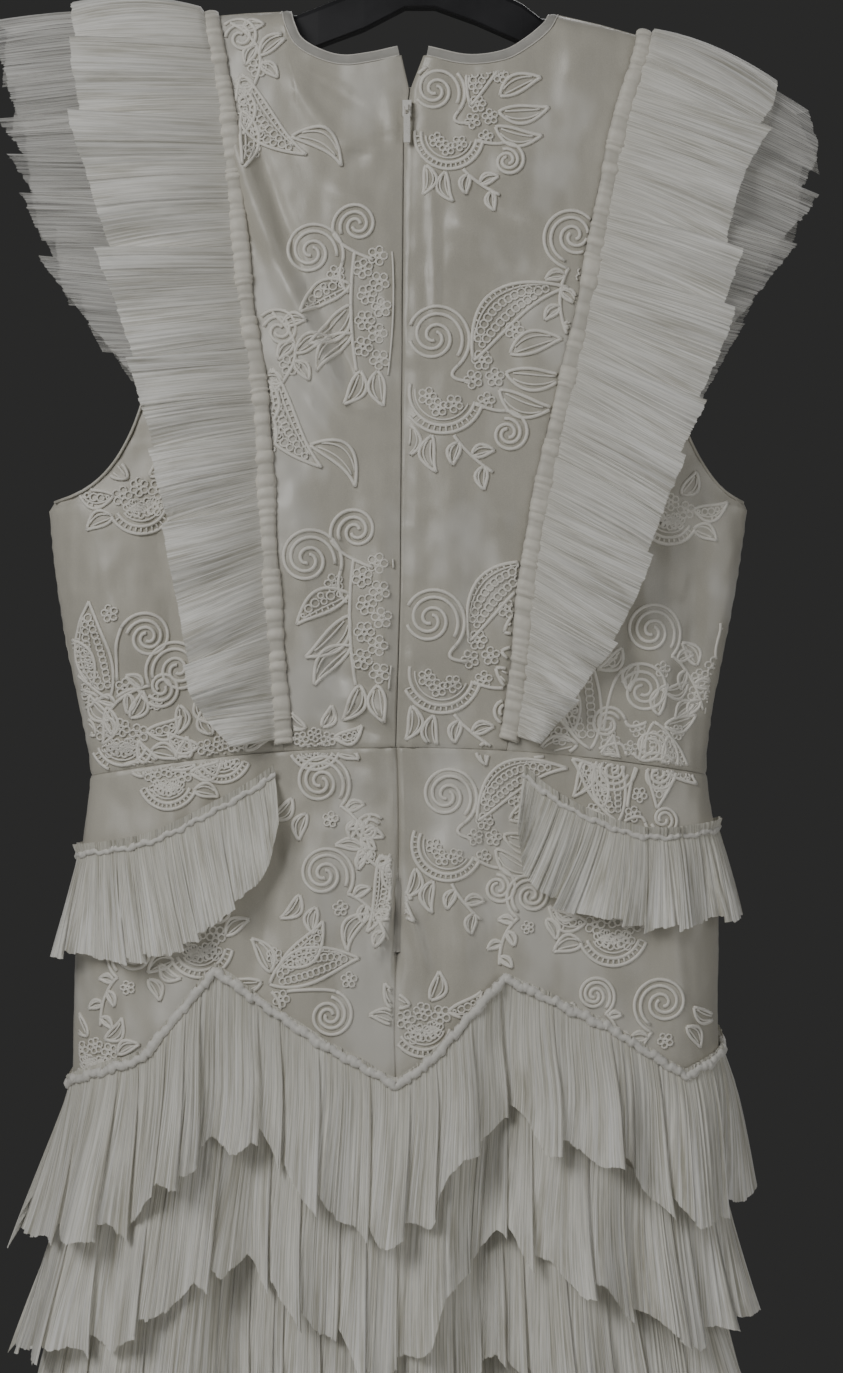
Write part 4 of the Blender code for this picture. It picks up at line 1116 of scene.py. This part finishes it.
def makeTier(number):
    def sizeOf(extreme):
        return skirt["wave"] * (0.72 + 0.5 * uneven(extreme + 31 * number))

    def pointAt(share, at, rise, within, phase):
        spread = max(0.0, share) ** 1.2
        wander = 1.3 * math.sin(at * 57.0 + share * 2.6 + number) * spread
        place = at * body["stations"] + (skirt["overlap"] * within + wander) * spread / stationLength
        top = zigzagDrop(place) + seamGap + number * skirt["pitch"]
        fall = skirt["fall"] + 3 * math.sin(place * 0.55 + number * 2.1)
        fall += 2.5 * math.sin(place * 2.3 + number * 1.3)
        hemX = surfaceAt(stationAngle(place % body["stations"]), top).x
        if place % body["stations"] > body["stations"] / 2:
            hemX = 2 * skirt["hemMiddle"] - hemX
        fall += straightRow(skirt["hem"], hemX)[1]
        below = (share * (1 + skirt["step"] * within) + frayed(share, phase, 0.010)) * fall
        wave = swing((place + number) / 2, sizeOf) * max(0.0, share)
        height = skirt["pleatHeight"] * pleatHeight(0.40, 0.65, spread, share, phase)
        stand = liftGap + frillWall + skirt["flare"] * max(0.0, below) + wave + rise * height
        stand += skirt["proud"] * within * max(0.0, share)
        if share < 0:
            stand += 1.3 * share / skirt["heading"][0] + rise * 0.5
        return skirtPoint(place, top + below, stand)

    rows = (skirt["heading"] if number == 0 else ()) + skirt["rowsDown"]
    name = f"tier_{number + 1}"
    columns = pleatColumns(skirt["pleats"], 40 + number, skirt["clump"])
    declareFrill(pleatedSheet(name, columns, rows, pointAt, skirtTulle, closed=True), name)


hips = {
    "left": [(0, 618, 57, -1), (60, 609, 65, -3), (102, 589, 57, 2), (127, 575, 47, 0), (139, 567, 26, 0)],
    "right": [(0, 600, 51, 1), (62, 605, 52, 0), (98, 594, 50, 8), (122, 580, 42, 7), (138, 567, 28, 3)],
    "parts": (-7.0, -4.6, -2.0, 0.0, 0.05, 0.14, 0.27, 0.42, 0.57, 0.72, 0.86, 0.95, 1.0),  # below 0 in mm
    "stands": [(-7.0, 2.9), (0.0, 0.0), (0.5, 5.0), (1.0, 11.0)],
    # towards the middle
    "leftFan": [(0, 0.0), (30, 6.0), (45, 12.0), (78, 18.0), (105, 16.0), (127, 10.0), (139, 5.0)],
    "rightFan": [(0, 0.0), (50, 3.0), (65, 6.0), (90, 14.0), (115, 14.0), (130, 8.0), (139, 3.0)],
    "waves": 9, "waveSize": 4.6, "pleats": 118, "clump": (4, 12), "overlap": 6.5, "proud": 4.0, "step": 0.14,
    "pleatHeight": 1.1,
}


def makeHipRuffle(hand, seed):
    name, rows, fanRows = f"hip_ruffle_{hand}", hips[hand], hips[hand + "Fan"]
    reachAround = rows[-1][0]
    middle, sign = (body["stations"] // 2, 1) if hand == "right" else (0, -1)

    def sizeOf(extreme):
        return hips["waveSize"] * (0.75 + 0.5 * uneven(extreme + 7 * sign))

    def pointAt(share, at, rise, within, phase):
        part = max(0.0, share)
        spread = part ** 1.2
        away = -reachAround + 2 * reachAround * at + hips["overlap"] * within * spread
        away = max(-reachAround, min(reachAround, away))
        _, drop, fall, lean = smoothRow(rows, abs(away))
        wave = swing((away + reachAround) / reachAround * hips["waves"], sizeOf)
        waveShare = part if share > 0 else 0.16 * share / hips["parts"][0]
        below = share
        if share >= 0:
            below = (share * (1 + hips["step"] * within) + frayed(share, phase, 0.014)) * fall
        fanned = away + math.copysign(part * smoothRow(fanRows, abs(away))[1], away)
        leanBy = part * lean / stationLength
        place = middle - fanned / stationLength * sign + leanBy * (1 if away < 0 else -1)
        angle = stationAngle(place % body["stations"])
        way = outwardAt(angle, drop + below)
        height = hips["pleatHeight"] * pleatHeight(0.38, 0.7, spread, share, phase)
        height += 0.35 if share < 0 else 0.0
        stand = liftGap + frillWall + straightRow(hips["stands"], share)[1] + wave * waveShare
        stand += rise * height + hips["proud"] * within * part
        return surfaceAt(angle, drop + below) + way * stand

    columns = pleatColumns(hips["pleats"], seed, hips["clump"])
    declareFrill(pleatedSheet(name, columns, hips["parts"], pointAt, skirtTulle), name)


rolls = {"radius": 3.1, "stand": 2.5, "above": 0.9, "step": 0.09,
         "hipRadius": 2.0, "hipStand": 2.3, "hipAbove": 0.9, "hipStep": 0.08}


def gatheredRoll(name, path, radius, seed):  # the puffed heading along a seam
    lengths = [0.0]
    for (point, _), (after, _) in zip(path, path[1:]):
        lengths.append(lengths[-1] + (after - point).length)
    ridges = gatherRidges(lengths[-1] + 1, seed, 1.8, 5.2)
    sizes = [radius * (0.58 + 0.62 * puffAt(length, ridges)) for length in lengths]
    points = [point + Vector((0, 0, 0.7 * math.sin(length * 0.37) + 0.5 * math.sin(length * 0.93 + seed)))
              for (point, _), length in zip(path, lengths)]
    roll = Joined()
    roll.add(*tubeParts(points, [normal for _, normal in path],
                        lambda share: sizes[round(share * (len(sizes) - 1))], 7, 0.85))
    roll.make(name, headingCloth)


def seamPath(start, end, step, dropAt, stand):
    path = []
    for number in range(round((end - start) / step) + 1):
        place = start + step * number
        angle, drop = stationAngle(place % body["stations"]), dropAt(place)
        path.append((surfaceAt(angle, drop) + outwardAt(angle, drop) * stand, outwardAt(angle, drop)))
    return path


def makeRolls():
    def zigzagAt(place):
        return zigzagDrop(place) - rolls["above"]

    zigzagPath = seamPath(0, body["stations"], rolls["step"], zigzagAt, rolls["stand"])
    gatheredRoll("zigzag_roll", zigzagPath, rolls["radius"], 31)
    for hand, middle, rows in (("left", 0, hips["left"]), ("right", body["stations"] // 2, hips["right"])):
        def hipAt(place):
            return smoothRow(rows, abs(place - middle) * stationLength)[1] - rolls["hipAbove"]

        half = rows[-1][0] / stationLength
        hipPath = seamPath(middle - half, middle + half, rolls["hipStep"], hipAt, rolls["hipStand"])
        gatheredRoll(f"hip_roll_{hand}", hipPath, rolls["hipRadius"], 32 + middle)


def makeSkirt():
    quarter = body["stations"] // 4
    makeYoke("yoke_back_left", 0, quarter, 1)
    makeYoke("yoke_back_right", quarter, 2 * quarter, 1)
    makeYoke("yoke_front", 2 * quarter, 4 * quarter, -1)
    makeUnderskirt()
    for number in range(skirt["tiers"]):
        makeTier(number)
    makeHipRuffle("left", 21)
    makeHipRuffle("right", 22)
    makeRolls()
    print("skirt made")


makeSkirt()


# Zip, hanger and hook

zipLook = {"first": 152.0, "last": 672.0, "behind": 2.2, "tape": (-3.4, -1.2, 1.2, 3.4), "tapeSteps": 130,
           "pitch": 1.3, "tooth": 0.34, "toothReach": (0.1, 1.5), "toothRise": (0.45, 0.70)}  # drops, mm


def makeZip():
    strip, coil, steps = [], Joined(), zipLook["tapeSteps"]
    for across in zipLook["tape"]:
        line = []
        for step in range(steps + 1):
            drop = zipLook["first"] + (zipLook["last"] - zipLook["first"]) * step / steps
            x = backSeamX(drop) + across
            line.append(surfaceAt(angleAt(x, drop, 1), drop) + Vector((0, zipLook["behind"], 0)))
        strip.append(line)
    tape = makeSheet("zip_chain", strip, sewingThread)
    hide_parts("zip_chain")
    count = int((zipLook["last"] - zipLook["first"]) / zipLook["pitch"])
    for hand in (-1, 1):
        points, normals = [], []
        for tooth in range(count * 2):
            drop = zipLook["first"] + tooth * zipLook["pitch"] / 2
            x = backSeamX(drop) + hand * zipLook["toothReach"][tooth % 2]
            base = surfaceAt(angleAt(x, drop, 1), drop)
            points.append(base + Vector((0, zipLook["behind"] - zipLook["toothRise"][tooth % 2], 0)))
            normals.append(Vector((0, -1, 0)))
        coil.add(*tubeParts(points, normals, zipLook["tooth"], 4, 1.0))
    teeth = coil.make("zip_coil", sewingThread)


makeZip()
enamel = metalFinish("enamelledMetal", colour(0.97, 0.95, 0.90), colour(0.84, 0.82, 0.76), 0.2, 0.15)
steel = metalFinish("hookSteel", colour(0.62, 0.62, 0.63), colour(0.45, 0.45, 0.46), 0.16)
for node, finish in (("zip_slider", enamel), ("zip_pull", enamel), ("hanger", plasticFinish()),
                     ("hanger_hook", steel)):
    for slot in bpy.data.objects[node].material_slots:
        slot.material = finish
print("zip and hanger made")


# Embroidery: raised cords on the net, in sprays of scrolls, leaves, rings and small flowers

embroidery = {"cord": 1.12, "fine": 0.72, "lift": 0.5, "step": 1.5, "grow": 1.3,
              "innerLine": 5.4, "leafShape": 0.8}


def polar(centre, reach, angle):  # the angle in radians
    return centre[0] + reach * math.cos(angle), centre[1] + reach * math.sin(angle)


def spiral(centre, outer, inner, startAngle, turns):
    # a scroll that winds in, anticlockwise for turns above 0
    steps = max(10, round(abs(turns) * math.pi * (outer + inner) / embroidery["step"]))
    path = []
    for step in range(steps + 1):
        share = step / steps
        radius = inner + (outer - inner) * (1 - share) ** 1.15
        path.append(polar(centre, radius, math.radians(startAngle + 360 * turns * share)))
    return path


def bow(start, middle, end):  # a curve that leaves start and reaches end, drawn towards middle
    length = math.dist(start, middle) + math.dist(middle, end)
    steps = max(4, round(length / embroidery["step"]))
    path = []
    for step in range(steps + 1):
        share = step / steps
        path.append(tuple((1 - share) ** 2 * a + 2 * share * (1 - share) * b + share ** 2 * c
                          for a, b, c in zip(start, middle, end)))
    return path


def leafSide(base, tip, width, bend, hand, first=0.0, last=1.0):
    alongX, alongY = tip[0] - base[0], tip[1] - base[1]
    length = math.hypot(alongX, alongY)
    steps = max(5, round(length * (last - first) / embroidery["step"]))
    path = []
    for step in range(steps + 1):
        share = first + (last - first) * step / steps
        full = math.sin(math.pi * share ** embroidery["leafShape"])
        out = bend * length * 4 * share * (1 - share) + hand * width / 2 * full
        path.append((base[0] + alongX * share - alongY / length * out,
                     base[1] + alongY * share + alongX / length * out))
    return path


def ring(centre, radius):
    steps = max(8, round(2 * math.pi * radius / embroidery["step"] * 1.2))
    return [polar(centre, radius, 2 * math.pi * step / steps) for step in range(steps + 1)]


def bars(path, reach, gap=2.5):  # short bars that stand on one side of a path
    made, travelled = [], 0.0
    for (startX, startY), (endX, endY) in zip(path, path[1:]):
        length = max(1e-6, math.dist((startX, startY), (endX, endY)))
        travelled += length
        if travelled >= gap:
            travelled = 0.0
            tip = (endX - (endY - startY) / length * reach, endY + (endX - startX) / length * reach)
            made.append(([(endX, endY), tip], embroidery["fine"]))
    return made


def plainLeaf(base, tip, width=8.0, bend=0.12):  # an outline with a second one and a vein inside it
    cord, fine = embroidery["cord"], embroidery["fine"]
    return [(leafSide(base, tip, width, bend, 1), cord), (leafSide(base, tip, width, bend, -1), cord),
            (leafSide(base, tip, width * 0.46, bend, 1, 0.12, 0.82), fine),
            (leafSide(base, tip, width * 0.46, bend, -1, 0.12, 0.82), fine)]


def ringLeaf(base, tip, width=14.0, bend=0.16):  # a double outline with bars on one side, filled with rings
    cord, fine = embroidery["cord"], embroidery["fine"]
    barred = leafSide(base, tip, width, bend, 1)
    inner = width - embroidery["innerLine"]
    strokes = [(barred, cord), (leafSide(base, tip, width, bend, -1), cord),
               (leafSide(base, tip, inner, bend, 1, 0.10, 0.86), fine)]
    strokes += bars(barred[4:-5], -2.5)
    length = math.dist(base, tip)
    count = max(4, round(length / 4.3))
    wayX, wayY = -(tip[1] - base[1]) / length, (tip[0] - base[0]) / length
    for number in range(count):
        share = 0.14 + 0.70 * number / (count - 1)
        full = math.sin(math.pi * share ** embroidery["leafShape"])
        low, high = -width / 2 * full + 1.5, inner / 2 * full - 0.9
        middle = leafSide(base, tip, 0.0, bend, 1, share, share + 0.01)[0]
        room = high - low
        across = ((low + high) / 2,) if room < 5.4 else (low + room * 0.24, low + room * 0.76)
        size = max(0.8, min(1.9, room / (2.0 if len(across) == 1 else 4.2)))
        for shift in across:
            strokes.append((ring((middle[0] + wayX * shift, middle[1] + wayY * shift), size), fine))
    return strokes


def flower(centre, petals=5, size=1.8, turn=0.0):
    strokes = [(ring(centre, size * 0.6), embroidery["fine"])]
    for petal in range(petals):
        place = polar(centre, size * 1.75, math.radians(turn) + 2 * math.pi * petal / petals)
        strokes.append((ring(place, size), embroidery["fine"]))
    return strokes


def arc(centre, radius, startAngle, sweep):
    return spiral(centre, radius, radius - 0.01, startAngle, sweep / 360.0)


def fan(centre, radius, startAngle, sweep):  # part of a disc, rimmed with bars and filled with flowers
    cord, fine = embroidery["cord"], embroidery["fine"]
    rim = arc(centre, radius, startAngle, sweep)
    strokes = [(rim, cord), (arc(centre, radius - 3.6, startAngle, sweep), cord)] + bars(rim, 3.4, 2.3)
    strokes.append((arc(centre, radius - 6.2, startAngle + 8, sweep - 16), fine))
    count = max(2, round(sweep / 52.0))
    for number in range(count):
        place = polar(centre, radius - 11.6, math.radians(startAngle + sweep * (number + 0.5) / count))
        strokes += flower(place, 5, 1.55, 25 * number)
    return strokes


def doubleScroll(centre, outer, startAngle, turns, tail=None):  # two cords that wind in side by side
    cord = embroidery["cord"]
    strokes = [(spiral(centre, outer, 1.8, startAngle, turns), cord),
               (spiral(centre, outer - 3.4, 2.2, startAngle + 10, turns * 0.68), cord)]
    if tail:
        angle = math.radians(startAngle)
        start = polar(centre, outer, angle)
        bulge = (start[0] - math.copysign(outer * 0.6, turns) * -math.sin(angle),
                 start[1] - math.copysign(outer * 0.6, turns) * math.cos(angle))
        strokes.append((bow(start, bulge, tail), cord))
    return strokes


def leafRow(start, middle, end, count, size, first=1):  # small leaves on a bent stem, to either side by turns
    stem = bow(start, middle, end)
    strokes = [(stem, embroidery["cord"])]
    for number in range(count):
        index = round((number + 0.6) / count * (len(stem) - 2))
        (startX, startY), (endX, endY) = stem[index], stem[index + 1]
        way = math.atan2(endY - startY, endX - startX) + first * (-1) ** number * 0.95
        tip = polar((startX, startY), size, way)
        strokes += plainLeaf((startX, startY), tip, size * 0.52, 0.12 * first * (-1) ** number)
    return strokes


def sprayMotif():  # a scroll, a long ring leaf, pointed leaves, a fan of flowers and a small scroll
    strokes = doubleScroll((-15, 17), 17.5, -50, 1.9, (2, -4))
    strokes += ringLeaf((3, 6), (47, 40), 17, 0.2)
    strokes += plainLeaf((20, 9), (44, 16), 10, 0.1) + plainLeaf((18, 0), (46, -1), 10, -0.1)
    strokes += plainLeaf((15, -8), (40, -16), 10, -0.16)
    strokes += fan((-11, -9), 19, 165, 178)
    strokes += doubleScroll((19, -28), 10.5, 95, -1.5, (4, -14))
    strokes += flower((7, 6), 6, 1.7) + flower((13, -2), 5, 1.6, 20) + flower((3, -3), 5, 1.6, 40)
    strokes += flower((22, 20), 5, 1.6) + flower((9, -13), 5, 1.5, 10)
    strokes += leafRow((-6, -29), (0, -38), (12, -46), 3, 11, -1)
    strokes += plainLeaf((-26, -24), (-30, -40), 7, 0.2) + plainLeaf((-16, -29), (-14, -46), 7, -0.2)
    return strokes


def columnMotif():  # a close column of flowers with scrolls and leaves beside it
    strokes = doubleScroll((-30, 14), 16, -20, 1.8, (-12, -6))
    strokes += doubleScroll((-8, 27), 12, 200, -1.5, (0, 10))
    for number, across in enumerate((2, -5, 3, -3, 4, -4, 2, -5, 3)):
        strokes += flower((across, 12 - 6.3 * number), 5 + number % 2, 1.75, 24 * number)
    strokes += [(bow((-9, 14), (-13, -14), (-8, -44)), embroidery["cord"]),
                (bow((9, 14), (11, -14), (7, -46)), embroidery["fine"])]
    strokes += ringLeaf((-11, -2), (-35, -16), 11, -0.12) + plainLeaf((-11, -12), (-31, -31), 10, 0.12)
    strokes += plainLeaf((-10, -26), (-27, -44), 9, -0.14) + plainLeaf((-6, -44), (-14, -60), 8, 0.14)
    strokes += plainLeaf((2, -44), (5, -61), 8, -0.1) + flower((-18, 3), 5, 1.6, 40)
    return strokes


def branchMotif():  # a drooping branch of flowers that ends in a long leaf
    strokes = leafRow((-8, 40), (14, 24), (-4, 4), 4, 11)
    strokes += doubleScroll((-4, 32), 11, 160, -1.3) + ringLeaf((-6, 14), (20, -30), 16, -0.16)
    strokes += plainLeaf((14, -20), (36, -38), 10, 0.24) + plainLeaf((-8, -4), (-12, -34), 9, 0.12)
    strokes += ringLeaf((-12, 12), (-15, -20), 11, 0.2)
    strokes += flower((2, 16), 6, 1.7) + flower((-6, 4), 5, 1.6, 30) + flower((-2, -14), 5, 1.5)
    strokes += flower((-6, -24), 5, 1.5, 15) + plainLeaf((4, 22), (20, 30), 7, 0.12)
    return strokes


def pairMotif():  # a ring leaf between two scrolls
    strokes = ringLeaf((0, -18), (-2, 32), 19, 0.08) + ringLeaf((-8, -10), (-26, 18), 13, -0.14)
    strokes += doubleScroll((24, 9), 13.5, 150, -1.75, (6, -10))
    strokes += doubleScroll((27, -17), 11, 190, 1.5, (4, -18))
    strokes += plainLeaf((-6, -16), (-26, -22), 9, -0.12) + plainLeaf((-2, -22), (-8, -40), 8, 0.16)
    strokes += flower((9, -14), 5, 1.7) + flower((8, 24), 5, 1.6, 20) + flower((-14, -12), 6, 1.6, 50)
    return strokes


def scrollMotif():  # one large scroll on a tendril with small leaves
    strokes = doubleScroll((0, 8), 16.5, -60, 1.9)
    strokes += leafRow((8, -6), (20, -16), (20, -36), 4, 10)
    strokes += plainLeaf((-16, 2), (-30, -6), 7, 0.2) + plainLeaf((-10, -7), (-16, -20), 7, -0.15)
    return strokes + flower((2, -12), 5, 1.5)


def patchMotif():  # a close patch of small flowers with leaves at its edge
    strokes = fan((1, 2), 17, 200, 140)
    strokes += flower((-8, 5), 5, 1.8) + flower((1, 8), 6, 1.7, 20) + flower((10, 5), 5, 1.8, 40)
    strokes += flower((-4, -2), 5, 1.7, 10) + flower((7, -3), 5, 1.7)
    strokes += ringLeaf((-12, 6), (-30, 14), 9, 0.2) + plainLeaf((-14, -4), (-28, -8), 8, -0.15)
    strokes += plainLeaf((-4, 13), (-10, 27), 8, 0.15) + plainLeaf((7, 12), (18, 25), 8, -0.2)
    strokes += plainLeaf((15, 4), (28, 10), 7, 0.15)
    return strokes


motifs = {"spray": sprayMotif(), "column": columnMotif(), "branch": branchMotif(), "pair": pairMotif(),
          "scroll": scrollMotif(), "patch": patchMotif()}
sewnMotifs = {  # motif, x, drop, size, turn, mirrored
    "backBodice": [
        ("branch", -98, 160, 0.95, 8, False), ("column", -28, 270, 0.96, 0, False),
        ("branch", -82, 342, 1.0, -4, False), ("column", -28, 456, 1.0, 0, False),
        ("spray", 28, 170, 0.84, 8, False), ("scroll", 96, 252, 0.95, 20, True),
        ("spray", 28, 326, 1.0, 0, False), ("spray", 26, 494, 0.96, 3, False),
        ("patch", -168, 404, 0.95, 10, False), ("scroll", -150, 512, 0.92, -30, True),
        ("pair", -190, 500, 0.92, 10, False), ("patch", -178, 548, 0.9, 0, True),
        ("scroll", 140, 490, 0.92, 10, False), ("patch", 178, 512, 0.85, 60, True),
        ("pair", 102, 528, 1.0, 0, False), ("patch", 150, 412, 0.85, -10, True),
        ("pair", 140, 554, 0.8, 180, False), ("patch", -120, 556, 0.8, 0, False),
        ("patch", -62, 550, 0.7, 0, True)],
    "backSkirt": [
        ("scroll", -58, 580, 0.88, 10, False), ("scroll", -54, 634, 0.86, 20, False),
        ("pair", -70, 686, 0.85, -76, False), ("spray", 30, 600, 0.86, -8, False),
        ("branch", -24, 628, 0.7, 20, True), ("patch", 4, 716, 0.9, 8, True),
        ("scroll", 66, 646, 0.72, 0, True), ("patch", 114, 662, 0.95, 0, False),
        ("scroll", 104, 704, 0.6, 0, False), ("scroll", 146, 712, 0.86, 10, True),
        ("scroll", -172, 682, 0.76, 0, True), ("patch", -132, 670, 0.9, 10, False),
        ("patch", -196, 738, 0.8, 0, False), ("pair", 118, 576, 0.8, 0, False),
        ("patch", -150, 572, 0.8, 0, True)],
    "frontBodice": [
        ("spray", -50, 262, 1.0, 0, True), ("spray", 42, 262, 1.0, 0, False),
        ("column", 4, 352, 1.0, 0, False), ("branch", -84, 356, 1.0, 0, False),
        ("branch", 72, 380, 0.9, 0, True), ("spray", -36, 474, 0.98, 0, True),
        ("spray", 24, 500, 0.95, 0, False), ("scroll", -98, 190, 0.85, 0, False),
        ("scroll", 96, 200, 0.85, 0, True), ("patch", -168, 406, 0.95, 0, False),
        ("pair", -180, 505, 0.9, 0, False), ("patch", 160, 410, 0.85, 0, True),
        ("pair", 150, 505, 0.9, 0, True), ("scroll", 108, 470, 0.8, 0, False),
        ("scroll", -134, 470, 0.8, 0, True)],
    "frontSkirt": [
        ("scroll", -60, 586, 0.88, 0, False), ("spray", 16, 606, 0.9, 0, True),
        ("patch", -20, 676, 0.95, 0, False), ("scroll", 62, 640, 0.8, 0, True),
        ("patch", 118, 664, 0.9, 0, True), ("scroll", 140, 706, 0.8, 0, False),
        ("patch", -130, 668, 0.9, 0, False), ("scroll", -174, 690, 0.8, 0, True),
        ("pair", -60, 640, 0.7, 0, False), ("patch", -16, 730, 0.8, 0, True),
        ("patch", 160, 740, 0.8, 0, True)],
}


clear = {"side": 5, "waist": 1.8, "zip": 4.2, "backSeam": 1.4, "zigzag": 2.0, "casing": 6.2, "armhole": 4,
         "neck": 6, "neckHalf": 84, "shoulder": 5}  # how far the embroidery stays from each edge or seam


def onPanel(x, drop, side):  # whether a stitch lands on cloth and not over an edge or a seam
    _, centre, halfWidth, _ = bodyAt(drop)
    if abs(x - centre) > halfWidth - clear["side"] or abs(drop - waistDrop(x)) < clear["waist"]:
        return False
    besideZip = clear["zip"] if drop < skirt["zipEnd"] else clear["backSeam"]
    if side > 0 and abs(x - backSeamX(drop)) < besideZip:
        return False
    if drop > waistDrop(x):
        return drop < zigzagDrop(stationAt(angleAt(x, drop, side))) - clear["zigzag"]
    left, right = smoothRow(lines["leftCasing"], drop)[1], smoothRow(lines["rightCasing"], drop)[1]
    if min(abs(x - left), abs(x - right)) < clear["casing"]:
        return False
    if drop < body["underarm"] + clear["armhole"]:
        left, right = smoothRow(lines["leftArmhole"], drop)[1], smoothRow(lines["rightArmhole"], drop)[1]
        if x < left + clear["armhole"] or x > right - clear["armhole"]:
            return False
    neck = necks["front" if side < 0 else "backLeft" if x < backSeamX(drop) else "backRight"]
    if abs(x) < clear["neckHalf"]:
        return drop > topDrop(x, neck) + clear["neck"]
    return drop > shoulderDrop(x) + clear["shoulder"]


def sewMotif(cloth, kind, x, drop, size, turn, mirrored, side):
    cosTurn, sinTurn = math.cos(math.radians(turn)), math.sin(math.radians(turn))
    size *= embroidery["grow"]
    for path, radius in motifs[kind]:
        run = []
        for across, up in path:
            across = -across if mirrored else across
            atX = x + size * (across * cosTurn - up * sinTurn)
            atDrop = drop - size * (across * sinTurn + up * cosTurn)
            if onPanel(atX, atDrop, side):
                run.append((atX, atDrop))
            else:
                sewRun(cloth, run, radius, side)
                run = []
        sewRun(cloth, run, radius, side)


def sewRun(cloth, run, radius, side):
    if len(run) < 2:
        return
    points = [onCloth(x, drop, side, embroidery["lift"]) for x, drop in run]
    normals = [clothNormal(angleAt(x, drop, side), drop) for x, drop in run]
    cloth.add(*tubeParts(points, normals, radius, 5 if radius > embroidery["fine"] else 4, 0.8))


def makeEmbroidery():
    for place, rows in sewnMotifs.items():
        cloth = Joined()
        side = 1 if place.startswith("back") else -1
        for kind, x, drop, size, turn, mirrored in rows:
            sewMotif(cloth, kind, x, drop, size, turn, mirrored, side)
        sewn = cloth.make("embroidery_" + place, cordThread)
        print(f"embroidery {place}: {2 * len(cloth.faces)} triangles")


makeEmbroidery()


# Camera and light

def aim(item, target):
    item.rotation_euler = (Vector(target) - item.location).to_track_quat("-Z", "Y").to_euler()


def makeCamera():
    lens = bpy.data.cameras.new("camera")
    camera = bpy.data.objects.new("camera", lens)
    bpy.context.scene.collection.objects.link(camera)
    x, z = photo["middle"]
    tall = photo["height"] * photo["millimetresPerPixel"]
    lens.sensor_width = photo["sensor"]
    lens.lens = photo["sensor"] * photo["distance"] / tall
    camera.location = Vector((x, photo["plane"] - photo["distance"], z)) * mm
    aim(camera, Vector((x, 0, z)) * mm)
    bpy.context.scene.camera = camera


def makeLight(name, place, target, size, power):
    lamp = bpy.data.lights.new(name, "AREA")
    lamp.shape = "RECTANGLE"
    lamp.size, lamp.size_y = size
    lamp.energy = power
    item = bpy.data.objects.new(name, lamp)
    bpy.context.scene.collection.objects.link(item)
    item.location = place
    aim(item, target)


def makeStudio():
    world = bpy.data.worlds.new("studio")
    world.use_nodes = True
    background = world.node_tree.nodes["Background"]
    background.inputs["Color"].default_value = (*light["world"], 1.0)
    background.inputs["Strength"].default_value = light["worldStrength"]
    bpy.context.scene.world = world
    for name, place, size, power in light["lamps"]:
        makeLight(name, place, light["target"], size, power)
    graph = Graph("paleFloor")
    cloud = graph.noise(6.0, detail=4.0)
    tone = graph.mix(cloud, colour(0.60, 0.60, 0.59), colour(0.68, 0.68, 0.67))
    finish = graph.finish({"Base Color": tone, "Roughness": cloud * 0.1 + 0.7}, {})
    half, drop = light["floorHalf"], light["floorDrop"]
    corners = [Vector((x * half, y * half, -drop)) * mm for x, y in ((-1, -1), (1, -1), (1, 1), (-1, 1))]
    mesh = bpy.data.meshes.new("floor")
    mesh.from_pydata([tuple(corner) for corner in corners], [], [(0, 1, 2, 3)])
    mesh.materials.append(finish)
    floor = bpy.data.objects.new("floor", mesh)
    bpy.context.scene.collection.objects.link(floor)


stitches.make("casing_stitches", sewingThread)
makeCamera()
makeStudio()
